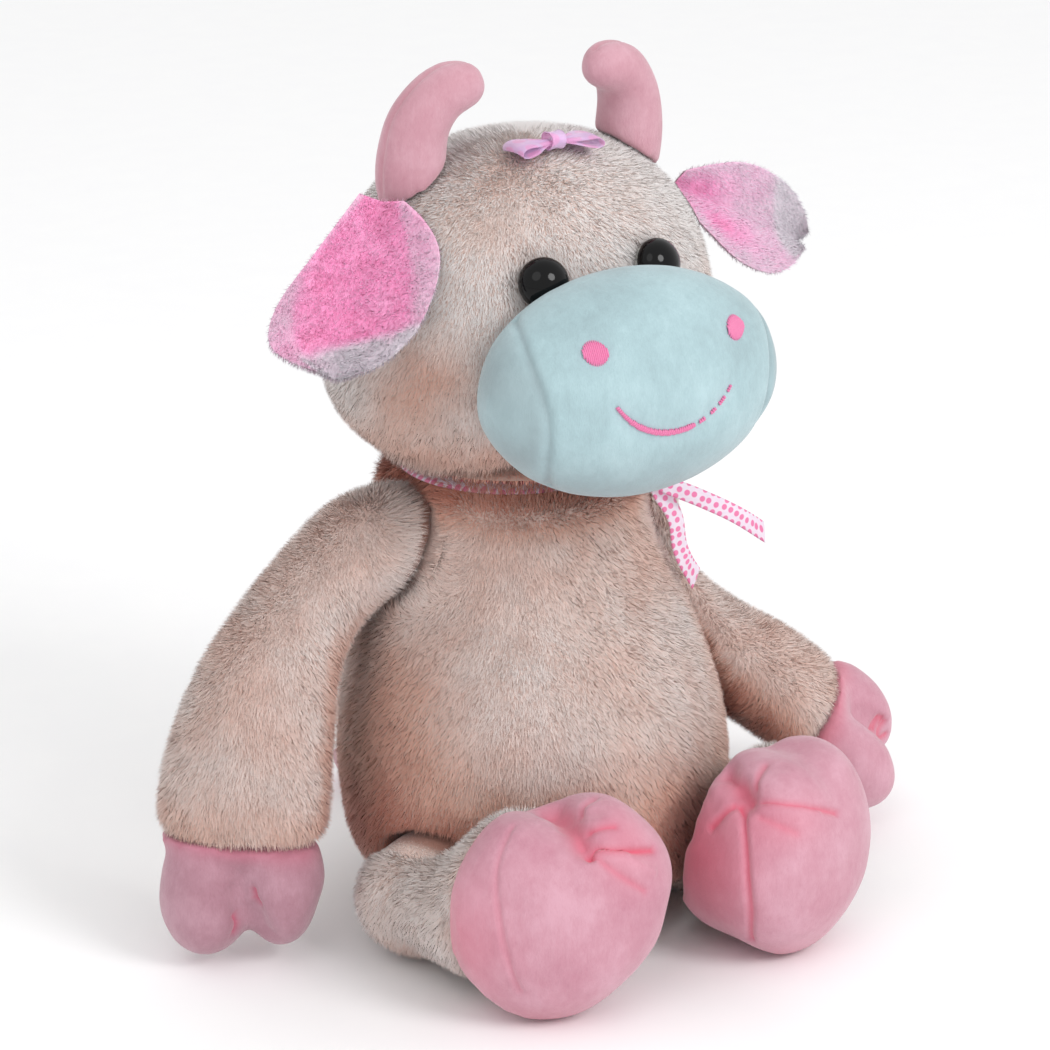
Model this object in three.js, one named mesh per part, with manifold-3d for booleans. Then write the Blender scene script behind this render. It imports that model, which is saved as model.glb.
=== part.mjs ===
// Plush cow, seated, in millimetres: +Z is up and the cow faces -Y, so its right side is at -X.
// The origin lies on the floor under the middle of the seat.
// Each stuffed part is a sewn cloth cover around its own filling, and turns on a rounded root.
// Except in the arms, the inside of a cover has half the sides of its outside, so that the cover is
// thicker between its corners.
import * as THREE from 'three';
import { mergeVertices } from 'three/addons/utils/BufferGeometryUtils.js';
import Module from 'manifold-3d';

const wasm = await Module();
wasm.setup();

// Cloth, gaps and the reach of the tools that cut
const clearance = 0.3;
const coverThickness = 2.5;
const cutReach = 700;
const weldDistance = 0.0001;

// Torso
const torsoHeight = 182;
const torsoWidth = 152;
const torsoDepth = 138;
const torsoLean = 19;
const seatCutDepth = 0.5;
const neckEdgeHeight = 171;

// Bag of pellets that weights the seat
const bagWidth = 62;
const bagDepth = 48;
const bagHeight = 24;
const bagSetBack = 18;

// Neck, a firm wad of filling that the head turns and nods on
const neckPivotHeight = 142;
const neckPivotSetBack = 17;
const neckCapRadius = 52.5;
const neckClearance = 0.6;
const neckSides = 32;
const neckPlugRadius = 24;
const neckPlugDepth = 22;

// Head
const headWidth = 152;
const headDepth = 119;
const headHeight = 127;
const headSink = 6.5;
const headSetBack = 13;

// Muzzle
const muzzleWidth = 118;
const muzzleDepth = 62;
const muzzleHeight = 82;
const muzzleAhead = 71;
const muzzleDrop = 13;
const embroideryHeight = 1;
const nostrilRadius = 4.2;
const nostrilSpacing = 57;
const nostrilLift = 20;
const smileWidth = 46;
const smileSag = 12;
const smileStitch = 2.6;
const smileDrop = 10.5;

// Eyes, domes on a shank that a washer holds inside the head
const eyeRadius = 9;
const eyeDome = 7;
const eyeSpacing = 47;
const eyeLift = 21;
const shankRadius = 2.4;
const shankLength = 9;
const washerRadius = 7.5;
const washerThickness = 1.4;

// Horns
const hornLength = 56;
const hornBaseDiameter = 27;
const hornSpacing = 86;
const hornLift = 42;

// Ears
const earLength = 69;
const earWidth = 60;
const earPanelThickness = 2.6;
const earSpacing = 121;
const earLift = 45;
const earAhead = 8;
const earFold = 9;

// Arms
const armLength = 178;
const armWidth = 66;
const armThickness = 44;
const shoulderSpacing = 88;
const shoulderHeight = 143;
const shoulderSetBack = 18;
const shoulderTilt = THREE.MathUtils.degToRad(20);
const armholeRadius = 23;
const flankRise = 11;
const wristShare = 0.9;
const handLobeLength = 52;
const handLobeWidth = 37;
const handLobeThickness = 36;

// Legs
const hipSpacing = 100;
const hipHeight = 24;
const hipAhead = 24;
const hipRadius = 24;
const hipWidth = 82;
const legLength = 93;
const legSplay = THREE.MathUtils.degToRad(-3);
const footSplay = THREE.MathUtils.degToRad(20);
const footWidth = 77;
const footHeight = 83;
const footCentreHeight = 41;
const ankleAhead = 45;
const cleftDepthShare = 0.2;
const cleftStartShare = 0.5;
const cleftFullShare = 0.74;
const cleftSpread = THREE.MathUtils.degToRad(17);

// Tail
const tailLength = 62;
const tailDiameter = 9;
const tailHeight = 48;
const tuftLength = 34;
const tuftDiameter = 20;

// Ribbons
const ribbonWidth = 6.5;
const ribbonThickness = 0.9;
const neckBandWidth = 3.5;
const neckBandHeight = 167;
const knotRadius = 5;
const knotHeight = 8;
const knotAside = 33;
const knotAhead = 30;
const neckTailLength = 62;
const endSlantShare = 0.8;
const bowAhead = 23;
const bowSink = 1.5;
const bowLoopLength = 17;
const bowLoopWidth = 14;
const bowLoopThickness = 5;
const bowWaistRadius = 4;
const bowKnotRadius = 6;
const bowKnotLength = 6;

// Joint ranges that the roots of the moving parts are cut clear for, in degrees
const legSwing = [-12, 20];
const earSwing = { right: [-4, 30], left: [-18, 18] };
const tailSwing = [-25, 25];
const swingStep = 11;

const SIDES = { right: -1, left: 1 };
const UP = new THREE.Vector3(0, 0, 1);
const DOWN = new THREE.Vector3(0, 0, -1);
const AHEAD = new THREE.Vector3(0, -1, 0);
const OUTWARD = new THREE.Vector3(1, 0, 0);

const headCentreHeight = neckEdgeHeight - headSink + headHeight / 2;
const headCentre = new THREE.Vector3(0, headSetBack, headCentreHeight);
const neckPivot = new THREE.Vector3(0, neckPivotSetBack, neckPivotHeight);

/** A point or direction mirrored to one side of the cow. */
function toSide(side, x, y, z) {
  return new THREE.Vector3(side * x, y, z);
}

/** A closed geometry as a solid that can be cut and joined. */
function solidOf(geometry) {
  const bare = geometry.clone();
  bare.deleteAttribute('normal');
  bare.deleteAttribute('uv');
  const merged = mergeVertices(bare, weldDistance);
  const vertProperties = merged.attributes.position.array;
  const triVerts = new Uint32Array(merged.index.array);
  return new wasm.Manifold(new wasm.Mesh({ numProp: 3, vertProperties, triVerts }));
}

/** A solid's surface as a geometry. */
function geometryOf(solid) {
  const mesh = solid.getMesh();
  const geometry = new THREE.BufferGeometry();
  geometry.setAttribute('position', new THREE.BufferAttribute(mesh.vertProperties, 3));
  geometry.setIndex(new THREE.BufferAttribute(mesh.triVerts, 1));
  geometry.computeVertexNormals();
  return geometry;
}

/** The turn that takes +Y to a direction, for cylinders, lathes and half spaces. */
function aimed(geometry, direction, place) {
  const turn = new THREE.Quaternion().setFromUnitVectors(new THREE.Vector3(0, 1, 0), direction);
  return geometry.applyQuaternion(turn).translate(place.x, place.y, place.z);
}

/** Everything on the side of a plane that its normal points to, as far as the cuts reach. */
function halfSpace(place, normal) {
  const box = new THREE.BoxGeometry(cutReach, cutReach, cutReach);
  box.translate(0, cutReach / 2, 0);
  return solidOf(aimed(box, normal, place));
}

/** A cylinder that starts at a place and runs along a direction. */
function peg(place, direction, radius, length, sides = 18) {
  const cylinder = new THREE.CylinderGeometry(radius, radius, length, sides);
  cylinder.translate(0, length / 2, 0);
  return solidOf(aimed(cylinder, direction, place));
}

/** The hole that a round peg of a radius turns in: its flats, not its corners, lie at that radius. */
function turningHole(place, direction, radius, length, sides = 18) {
  return peg(place, direction, radius / Math.cos(Math.PI / sides), length, sides);
}

/** A ball around a place. */
function ball(place, radius, sides = 20) {
  const sphere = new THREE.SphereGeometry(radius, sides, Math.ceil(sides / 2));
  return solidOf(sphere.translate(place.x, place.y, place.z));
}

/** Rows of shares, read smoothly at any share of the way along. */
function smoothTable(rows) {
  const columns = rows[0].length - 1;
  const places = rows.map((row) => row[0]);
  const values = rows.flatMap((row) => row.slice(1));
  const interpolant = new THREE.CubicInterpolant(places, values, columns, new Float32Array(columns));
  return (share) => Array.from(interpolant.evaluate(share));
}

/** The share of the girth left at a share of the way along a form whose two ends close as domes. */
function domedEnds(share, { start, finish, flatness = 2, startFlatness = flatness }) {
  const dome = (part, power) => Math.pow(1 - Math.pow(1 - Math.min(part, 1), power), 1 / power);
  return dome(share / start, startFlatness) * dome((1 - share) / finish, flatness);
}

/** A closed surface through rings of points, with a pole at each end. */
function closedRings(startPole, rings, endPole) {
  const sides = rings[0].length;
  const points = [startPole, ...rings.flat(), endPole];
  const last = points.length - 1;
  const at = (ring, corner) => 1 + ring * sides + (corner % sides);
  const index = [];
  for (let corner = 0; corner < sides; corner += 1) {
    index.push(0, at(0, corner + 1), at(0, corner));
    index.push(last, at(rings.length - 1, corner), at(rings.length - 1, corner + 1));
    for (let ring = 0; ring < rings.length - 1; ring += 1) {
      index.push(at(ring, corner), at(ring, corner + 1), at(ring + 1, corner + 1));
      index.push(at(ring, corner), at(ring + 1, corner + 1), at(ring + 1, corner));
    }
  }
  return new THREE.BufferGeometry().setFromPoints(points).setIndex(index);
}

/**
 * A stuffed form: oval rings along a spine that swell and taper, closed at both ends.
 * The rows give the half width and half depth along it, and grow moves the whole surface outwards.
 * A seat share adds a ring close to the first end, so that this end closes nearly flat.
 */
function stuffedForm(form, grow = 0, sides = form.sides) {
  const { spine, rows, width, depth, ends, facing = AHEAD, rings, pinch, seatShare } = form;
  const girth = smoothTable(rows);
  const ringPoints = [];
  for (let ring = seatShare ? 0 : 1; ring < rings; ring += 1) {
    const share = Math.max(seatShare ?? 0, (1 - Math.cos((Math.PI * ring) / rings)) / 2);
    const along = spine.getTangentAt(share);
    const centre = spine.getPointAt(share).addScaledVector(along, grow * (2 * share - 1));
    const across = new THREE.Vector3().crossVectors(facing, along).normalize();
    const outOfPlane = new THREE.Vector3().crossVectors(along, across);
    const [wideShare, deepShare] = girth(share);
    const left = domedEnds(share, ends);
    const points = [];
    for (let corner = 0; corner < sides; corner += 1) {
      const angle = (2 * Math.PI * corner) / sides;
      const drawnIn = pinch ? pinch(share, angle) : 1;
      const wide = (wideShare * width / 2 + grow) * left * drawnIn * Math.cos(angle);
      const deep = (deepShare * depth / 2 + grow) * left * drawnIn * Math.sin(angle);
      points.push(centre.clone().addScaledVector(across, wide).addScaledVector(outOfPlane, deep));
    }
    ringPoints.push(points);
  }
  const startPole = spine.getPointAt(0).addScaledVector(spine.getTangentAt(0), -grow);
  const endPole = spine.getPointAt(1).addScaledVector(spine.getTangentAt(1), grow);
  return solidOf(closedRings(startPole, ringPoints, endPole));
}

/** An ellipsoid as a stuffed form, with its poles along one direction. */
function roundForm(centre, size, direction, options = {}) {
  const reach = size.length / 2;
  return {
    spine: new THREE.LineCurve3(
      centre.clone().addScaledVector(direction, -reach),
      centre.clone().addScaledVector(direction, reach),
    ),
    rows: [[0, 1, 1], [1, 1, 1]],
    width: size.width,
    depth: size.depth,
    ends: { start: 0.5, finish: 0.5 },
    ...options,
  };
}

/** A solid turned about an axis through a place, by an angle in degrees. */
function turned(solid, place, axis, degrees) {
  const turn = new THREE.Matrix4().makeRotationAxis(axis, THREE.MathUtils.degToRad(degrees));
  const matrix = new THREE.Matrix4().makeTranslation(place.x, place.y, place.z)
    .multiply(turn)
    .multiply(new THREE.Matrix4().makeTranslation(-place.x, -place.y, -place.z));
  return solid.transform(matrix.elements);
}

/** A solid with what a larger neighbour would reach taken away, all through a joint's range. */
function clearOf(solid, neighbour, joint) {
  const [low, high] = joint.range;
  const steps = Math.ceil((high - low) / swingStep);
  let left = solid;
  for (let step = 0; step <= steps; step += 1) {
    const degrees = low + ((high - low) * step) / steps;
    left = left.subtract(turned(neighbour, joint.place, joint.axis, -degrees));
  }
  return left;
}

/** The largest of a solid's separate pieces, without crumbs that a cut leaves. */
function mainBody(solid) {
  const bodies = solid.decompose();
  return bodies.reduce((largest, body) => (body.volume() > largest.volume() ? body : largest));
}

/** A curve through places given as shares of one length, from a start, mirrored to one side. */
function route(side, start, shares, length) {
  const points = shares.map(([out, back, rise]) => start.clone().add(
    toSide(side, out * length, back * length, rise * length),
  ));
  return new THREE.CatmullRomCurve3(points, false, 'centripetal');
}

// Looks, as plain colours
const LOOKS = {
  fur: { color: 0xcbb5a8, roughness: 0.95 },
  velour: { color: 0xe6a3b1, roughness: 0.85 },
  muzzleCloth: { color: 0xd3dfe1, roughness: 0.9 },
  earLining: { color: 0xf293be, roughness: 0.9 },
  earCloth: { color: 0xe9dadd, roughness: 0.9 },
  glossyPlastic: { color: 0x0b0a0c, roughness: 0.12 },
  whitePlastic: { color: 0xe8e8e4, roughness: 0.5 },
  thread: { color: 0xd9668f, roughness: 0.6 },
  ribbon: { color: 0xe6d6ea, roughness: 0.45 },
  organza: { color: 0xdcaede, roughness: 0.4 },
  fibre: { color: 0xf4f3ef, roughness: 1 },
  lining: { color: 0xd9d4c8, roughness: 0.9 },
};

const cow = new THREE.Group();

/** Adds one named piece to the cow. */
function addPiece(name, solid, look) {
  const material = new THREE.MeshStandardMaterial({ ...LOOKS[look], metalness: 0 });
  const mesh = new THREE.Mesh(geometryOf(mainBody(solid)), material);
  mesh.name = name;
  cow.add(mesh);
}

// Torso: a pear that leans back, flat under the seat
const TORSO_SHARES = [
  [0, 0.88, 0.9], [0.12, 0.96, 0.98], [0.25, 1, 1], [0.4, 0.985, 0.98], [0.55, 0.9, 0.9],
  [0.68, 0.81, 0.81], [0.8, 0.74, 0.73], [0.9, 0.73, 0.72], [1, 0.66, 0.68],
];
const SEAT_RING_SHARE = 0.003;
const TORSO_SPINE_SHARES = [[0, 0], [0.25, 0.06], [0.45, 0.5], [0.62, 0.86], [0.8, 1], [1, 0.92]];

const torsoForm = {
  spine: new THREE.CatmullRomCurve3(TORSO_SPINE_SHARES.map(([rise, lean]) => new THREE.Vector3(
    0, lean * torsoLean, rise * (torsoHeight + seatCutDepth) - seatCutDepth,
  ))),
  rows: TORSO_SHARES,
  seatShare: SEAT_RING_SHARE,
  width: torsoWidth,
  depth: torsoDepth,
  ends: { start: 0.24, finish: 0.22, flatness: 2.6, startFlatness: 3.4 },
  rings: 10,
  sides: 20,
};

// Arms: paddles that hang from a round root in each side of the torso
const ARM_ROUTE_SHARES = {
  right: [
    [-0.05, 0, -0.01], [0.08, 0, 0.005], [0.18, 0, -0.05], [0.265, -0.01, -0.13], [0.335, -0.03, -0.22],
    [0.38, -0.04, -0.32], [0.415, -0.05, -0.43], [0.435, -0.06, -0.54], [0.445, -0.065, -0.62],
  ],
  left: [
    [-0.05, 0, 0.01], [0.08, 0.02, -0.04], [0.12, 0.05, -0.16], [0.17, 0.04, -0.27], [0.26, 0, -0.38],
    [0.37, -0.06, -0.47], [0.47, -0.11, -0.56], [0.52, -0.13, -0.61],
  ],
};
const ARM_SHARES = {
  right: [
    [0, 0.7, 0.95], [0.15, 0.7, 0.95], [0.3, 0.68, 0.9], [0.45, 0.76, 0.92], [0.6, 0.9, 0.98],
    [0.8, 1, 1], [1, 0.98, 0.9],
  ],
  left: [
    [0, 0.64, 0.95], [0.15, 0.62, 0.76], [0.3, 0.62, 0.62], [0.45, 0.66, 0.68], [0.6, 0.76, 0.8],
    [0.8, 0.86, 0.9], [1, 0.88, 0.86],
  ],
};
const PALM_FACING = { right: [0.5, -0.85, 0], left: [0.6, -0.66, 0.45] };
const HAND_LOBES_SHARES = {
  right: [{ across: 0.16, ahead: 0.09, girth: 1 }, { across: -0.24, ahead: -0.015, girth: 0.86 }],
  left: [{ across: 0.22, ahead: -0.01, girth: 0.94 }, { across: -0.24, ahead: 0.03, girth: 0.84 }],
};

/** Where an arm is carried: the middle of its armhole and the axis that it swings about. */
function shoulderOf(side) {
  return {
    place: toSide(side, shoulderSpacing / 2, shoulderSetBack, shoulderHeight),
    axis: toSide(side, Math.cos(shoulderTilt), 0, Math.sin(shoulderTilt)),
  };
}

/** The space that an arm can use, drawn in by a margin: its root's plug, and all past the flank. */
function armSpace(side, margin) {
  const { place, axis } = shoulderOf(side);
  const root = place.clone().addScaledVector(axis, clearance + margin);
  const plug = peg(root, axis, armholeRadius - margin, flankRise * 2);
  const pastFlank = place.clone().addScaledVector(axis, flankRise + clearance + margin);
  return plug.add(halfSpace(pastFlank, axis));
}

/** One whole arm with its cleft hand, grown by a margin, and where its hand begins. */
function armOutline(name) {
  const side = SIDES[name];
  const { place } = shoulderOf(side);
  const [out, back, rise] = PALM_FACING[name];
  const facing = toSide(side, out, back, rise).normalize();
  const spine = route(side, place, ARM_ROUTE_SHARES[name], armLength);
  const wrist = spine.getPointAt(1);
  const along = spine.getTangentAt(1);
  const across = new THREE.Vector3().crossVectors(facing, along).normalize().multiplyScalar(side);
  const limb = {
    spine,
    rows: ARM_SHARES[name],
    width: armWidth,
    depth: armThickness,
    ends: { start: 0.02, finish: 0.14 },
    facing,
    rings: 10,
    sides: 12,
  };
  const lobes = HAND_LOBES_SHARES[name].map((lobe) => ({
    ...roundForm(
      wrist.clone().addScaledVector(across, lobe.across * armWidth)
        .addScaledVector(along, lobe.ahead * handLobeLength),
      { length: handLobeLength, width: handLobeWidth * lobe.girth, depth: handLobeThickness },
      along,
      { facing, rings: 6, sides: 10 },
    ),
  }));
  const grown = (grow, fewer) => lobes.reduce(
    (solid, lobe) => solid.add(stuffedForm(lobe, grow, lobe.sides / fewer)),
    stuffedForm(limb, grow, limb.sides / fewer),
  );
  const split = spine.getPointAt(wristShare);
  return { grown, split, along: spine.getTangentAt(wristShare) };
}

/** A cover, the hoof that ends it and the filling of both, from a limb's outlines and its inside. */
function limbPieces(outline, inside, split, along) {
  const gapSide = along.clone().multiplyScalar(clearance / 2);
  const beyond = halfSpace(split.clone().add(gapSide), along);
  const before = halfSpace(split.clone().sub(gapSide), along.clone().negate());
  const shell = outline(0).subtract(inside);
  return {
    cover: shell.intersect(before),
    hoof: shell.intersect(beyond),
    filling: outline(coverThickness + clearance, 2),
  };
}

function addArms() {
  for (const [name, side] of Object.entries(SIDES)) {
    const { grown, split, along } = armOutline(name);
    const outline = (margin, fewer = 1) => mainBody(grown(-margin, fewer).intersect(armSpace(side, margin)));
    const { cover, hoof, filling } = limbPieces(outline, outline(coverThickness), split, along);
    addPiece(`arm_cover_${name}`, cover, 'fur');
    addPiece(`hand_hoof_${name}`, hoof, 'velour');
    addPiece(`arm_filling_${name}`, filling, 'fibre');
  }
}

// Legs: short tubes from a ball at the hip to a broad cleft hoof
const LEG_SHARES = [
  [0, 1.02, 0.56], [0.25, 1.03, 0.62], [0.42, 1, 0.77], [0.55, 0.98, 0.92], [0.7, 1, 1], [0.86, 1, 1],
  [1, 0.94, 0.96],
];
const LEG_ROUTE_SHARES = [[0, 0, 0], [0.33, 0, 0.3], [0.6, 0.07, 0.9], [0.64, 0.36, 1]];

/** Where a leg is carried, and the direction that it points in. */
function hipOf(side) {
  return {
    place: toSide(side, hipSpacing / 2, -hipAhead, hipHeight),
    pointing: toSide(side, Math.sin(legSplay), -Math.cos(legSplay), 0),
    sole: toSide(side, Math.sin(footSplay), -Math.cos(footSplay), 0),
  };
}

/** The root of a leg, round about the axis that the leg lifts on, grown by a margin. */
function hipBall(side, grow) {
  const { place } = hipOf(side);
  const root = roundForm(place, { length: hipWidth, width: hipRadius * 2, depth: hipRadius * 2 }, OUTWARD, {
    facing: UP,
    rings: 8,
    sides: 20,
  });
  return stuffedForm(root, grow);
}

/** How far the top of the hoof is drawn in towards its cleft. */
function hoofCleft(share, angle) {
  const offTop = (angle - Math.PI / 2) / cleftSpread;
  const towardsFront = THREE.MathUtils.smoothstep(share, cleftStartShare, cleftFullShare);
  return 1 - cleftDepthShare * towardsFront * Math.exp(-offTop * offTop);
}

function legForm(side) {
  const { place, pointing, sole } = hipOf(side);
  const points = LEG_ROUTE_SHARES.map(([legShare, soleShare, riseShare]) => place.clone()
    .addScaledVector(pointing, legShare * legLength)
    .addScaledVector(sole, soleShare * legLength)
    .addScaledVector(UP, riseShare * (footCentreHeight - hipHeight)));
  return {
    spine: new THREE.CatmullRomCurve3(points),
    rows: LEG_SHARES,
    width: footWidth,
    depth: footHeight,
    ends: { start: 0.12, finish: 0.3, flatness: 2.3 },
    facing: UP,
    rings: 10,
    sides: 16,
    pinch: hoofCleft,
  };
}

function addLegs() {
  for (const [name, side] of Object.entries(SIDES)) {
    const { place, pointing } = hipOf(side);
    const joint = { place, axis: OUTWARD.clone().negate(), range: legSwing };
    const form = legForm(side);
    const outline = (margin, fewer = 1) => {
      const belly = stuffedForm(torsoForm, clearance + margin);
      const floor = new THREE.Vector3(0, 0, margin);
      const leg = clearOf(stuffedForm(form, -margin, form.sides / fewer), belly, joint);
      return mainBody(leg.add(hipBall(side, -margin)).intersect(halfSpace(floor, UP)));
    };
    const ankle = place.clone().addScaledVector(pointing, ankleAhead);
    const inside = outline(coverThickness, 2);
    const { cover, hoof, filling } = limbPieces(outline, inside, ankle, pointing);
    addPiece(`leg_cover_${name}`, cover, 'fur');
    addPiece(`foot_hoof_${name}`, hoof, 'velour');
    addPiece(`leg_filling_${name}`, filling, 'fibre');
  }
}

/** The sockets in the torso that the arms, the legs and the neck sit in, widened by a margin. */
function torsoSockets(margin) {
  const top = new THREE.Vector3(0, 0, neckEdgeHeight - margin);
  let sockets = halfSpace(top, UP);
  for (const side of Object.values(SIDES)) {
    const { place, axis } = shoulderOf(side);
    const floorOfArmhole = place.clone().addScaledVector(axis, -margin);
    const armhole = armholeRadius + clearance + margin;
    sockets = sockets.add(turningHole(floorOfArmhole, axis, armhole, cutReach));
    sockets = sockets.add(hipBall(side, clearance + margin));
  }
  return sockets;
}

/** The neck's wad: a plug in the torso under a round cap in the head, shrunk or grown. */
function neckWad(capRadius, plugRadius, plugGrow) {
  const edge = neckEdgeHeight + clearance - neckPivotHeight;
  const capEdge = Math.acos(edge / capRadius);
  const profile = [
    new THREE.Vector2(0, edge - neckPlugDepth - plugGrow),
    new THREE.Vector2(plugRadius, edge - neckPlugDepth - plugGrow),
    new THREE.Vector2(plugRadius, edge),
  ];
  const steps = 8;
  for (let step = 0; step < steps; step += 1) {
    const angle = capEdge * (1 - step / steps);
    profile.push(new THREE.Vector2(capRadius * Math.sin(angle), capRadius * Math.cos(angle)));
  }
  profile.push(new THREE.Vector2(0, capRadius));
  return solidOf(aimed(new THREE.LatheGeometry(profile, neckSides), UP, neckPivot));
}

function addTorso() {
  const seat = halfSpace(new THREE.Vector3(0, 0, 0), UP);
  const insideSeat = halfSpace(new THREE.Vector3(0, 0, coverThickness), UP);
  const outer = stuffedForm(torsoForm).intersect(seat);
  const inner = stuffedForm(torsoForm, -coverThickness, torsoForm.sides / 2).intersect(insideSeat);
  addPiece('torso_cover', outer.subtract(inner).subtract(torsoSockets(0)), 'fur');

  const bagCentre = new THREE.Vector3(0, bagSetBack, bagHeight / 2);
  const bag = roundForm(bagCentre, { length: bagHeight, width: bagWidth, depth: bagDepth }, UP, {
    rings: 8,
    sides: 18,
  });
  const roomFloor = halfSpace(new THREE.Vector3(0, 0, coverThickness + clearance), UP);
  const room = stuffedForm(torsoForm, -coverThickness - clearance, torsoForm.sides / 2)
    .intersect(roomFloor);
  addPiece('pellet_bag', stuffedForm(bag).intersect(room), 'lining');

  const wad = neckWad(neckCapRadius - neckClearance, neckPlugRadius, 0);
  const pocket = neckWad(neckCapRadius, neckPlugRadius + neckClearance, neckClearance);
  addPiece('neck_filling', wad, 'fibre');

  const filling = room
    .subtract(stuffedForm(bag, clearance))
    .subtract(torsoSockets(coverThickness))
    .subtract(pocket);
  addPiece('torso_filling', filling, 'fibre');
}

// Head: a ball with low full cheeks, whose underside is hollowed for the neck's cap
const HEAD_SHARES = [[0, 1.22, 1.04], [0.3, 1.08, 1.01], [0.5, 1, 1], [1, 0.96, 1]];

const headForm = roundForm(
  headCentre,
  { length: headHeight, width: headWidth, depth: headDepth },
  UP,
  {
    rows: HEAD_SHARES,
    rings: 10,
    sides: 20,
    ends: { start: 0.5, finish: 0.5, flatness: 2.15 },
  },
);
const muzzleCentre = headCentre.clone()
  .addScaledVector(AHEAD, muzzleAhead)
  .addScaledVector(UP, -muzzleDrop);
const muzzleForm = roundForm(
  muzzleCentre,
  { length: muzzleDepth, width: muzzleWidth, depth: muzzleHeight },
  AHEAD,
  { facing: UP, rings: 8, sides: 16, ends: { start: 0.5, finish: 0.5, flatness: 2.25 } },
);

/** The point of the head's surface ahead of a place given sideways and upwards, and its normal. */
function onHead(across, rise) {
  const wide = across / (headWidth / 2);
  const high = rise / (headHeight / 2);
  const deep = Math.sqrt(1 - wide * wide - high * high);
  const place = headCentre.clone().add(new THREE.Vector3(across, -deep * headDepth / 2, rise));
  const normal = new THREE.Vector3(2 * wide / headWidth, -2 * deep / headDepth, 2 * high / headHeight);
  return { place, normal: normal.normalize() };
}

/** A dome with a shank behind it, as a lathe about the eye's own axis. */
function eyeSolid(place, normal) {
  const steps = 6;
  const profile = [
    new THREE.Vector2(0, -shankLength),
    new THREE.Vector2(shankRadius, -shankLength),
    new THREE.Vector2(shankRadius, clearance),
    new THREE.Vector2(eyeRadius, clearance),
  ];
  for (let step = 1; step < steps; step += 1) {
    const angle = (Math.PI / 2) * (step / steps);
    profile.push(new THREE.Vector2(eyeRadius * Math.cos(angle), clearance + eyeDome * Math.sin(angle)));
  }
  profile.push(new THREE.Vector2(0, clearance + eyeDome));
  return solidOf(aimed(new THREE.LatheGeometry(profile, 14), normal, place));
}

/** The washer that locks an eye's shank against the inside of the head's cover. */
function washerSolid(place, normal) {
  const seat = -coverThickness - clearance - washerThickness;
  const profile = [
    new THREE.Vector2(shankRadius + clearance, seat),
    new THREE.Vector2(washerRadius, seat),
    new THREE.Vector2(washerRadius, seat + washerThickness),
    new THREE.Vector2(shankRadius + clearance, seat + washerThickness),
    new THREE.Vector2(shankRadius + clearance, seat),
  ];
  return solidOf(aimed(new THREE.LatheGeometry(profile, 16), normal, place));
}

function addHead() {
  const socket = ball(neckPivot, neckCapRadius, neckSides);
  let cover = stuffedForm(headForm)
    .subtract(stuffedForm(headForm, -coverThickness, headForm.sides / 2))
    .subtract(socket);
  let filling = stuffedForm(headForm, -coverThickness - clearance, headForm.sides / 2)
    .subtract(socket);
  for (const [name, side] of Object.entries(SIDES)) {
    const { place, normal } = onHead(side * eyeSpacing / 2, eyeLift);
    const behind = normal.clone().negate();
    const washerRoom = washerRadius + clearance;
    const inside = place.clone().addScaledVector(behind, coverThickness);
    cover = cover.subtract(peg(place, behind, shankRadius + clearance, shankLength, 16))
      .subtract(peg(place, normal, eyeRadius + clearance, eyeDome))
      .subtract(peg(inside, behind, washerRoom, shankLength, 16));
    filling = filling.subtract(peg(place, behind, washerRoom, shankLength + clearance, 16));
    addPiece(`eye_${name}`, eyeSolid(place, normal), 'glossyPlastic');
    addPiece(`eye_washer_${name}`, washerSolid(place, normal), 'whitePlastic');
  }
  addPiece('head_cover', cover, 'fur');
  addPiece('head_filling', filling, 'fibre');
}

function addMuzzle() {
  const head = stuffedForm(headForm, clearance);
  const shell = stuffedForm(muzzleForm)
    .subtract(stuffedForm(muzzleForm, -coverThickness, muzzleForm.sides / 2));
  const ahead = halfSpace(headCentre, AHEAD);
  const eyes = Object.values(SIDES).map((side) => {
    const { place, normal } = onHead(side * eyeSpacing / 2, eyeLift);
    return peg(place, normal, eyeRadius + clearance, eyeDome + clearance);
  });
  const trimmed = (solid) => eyes.reduce((left, eye) => left.subtract(eye), solid.intersect(ahead))
    .subtract(head);
  addPiece('muzzle_cover', trimmed(shell), 'muzzleCloth');
  const filling = stuffedForm(muzzleForm, -coverThickness - clearance, muzzleForm.sides / 2);
  addPiece('muzzle_filling', trimmed(filling), 'fibre');
}

/** The thin layer that stitches fill, just outside the muzzle's cloth. */
function stitchLayer() {
  return stuffedForm(muzzleForm, clearance + embroideryHeight)
    .subtract(stuffedForm(muzzleForm, clearance));
}

function addEmbroidery() {
  const layer = stitchLayer();
  for (const [name, side] of Object.entries(SIDES)) {
    const place = muzzleCentre.clone().add(toSide(side, nostrilSpacing / 2, 0, nostrilLift));
    const stitched = layer.intersect(peg(place, AHEAD, nostrilRadius, muzzleDepth, 14));
    addPiece(`nostril_${name}`, stitched, 'thread');
  }
  const half = smileWidth / 2;
  const radius = (half * half + smileSag * smileSag) / (2 * smileSag);
  const spread = Math.asin(half / radius);
  const shape = new THREE.Shape();
  shape.absarc(0, 0, radius + smileStitch / 2, -Math.PI / 2 - spread, -Math.PI / 2 + spread, false);
  shape.absarc(0, 0, radius - smileStitch / 2, -Math.PI / 2 + spread, -Math.PI / 2 - spread, true);
  const band = new THREE.ExtrudeGeometry(shape, {
    depth: muzzleDepth,
    bevelEnabled: false,
    curveSegments: 14,
  });
  band.rotateX(Math.PI / 2);
  band.translate(muzzleCentre.x, muzzleCentre.y, muzzleCentre.z - smileDrop + radius);
  addPiece('mouth', layer.intersect(solidOf(band)), 'thread');
}

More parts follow.
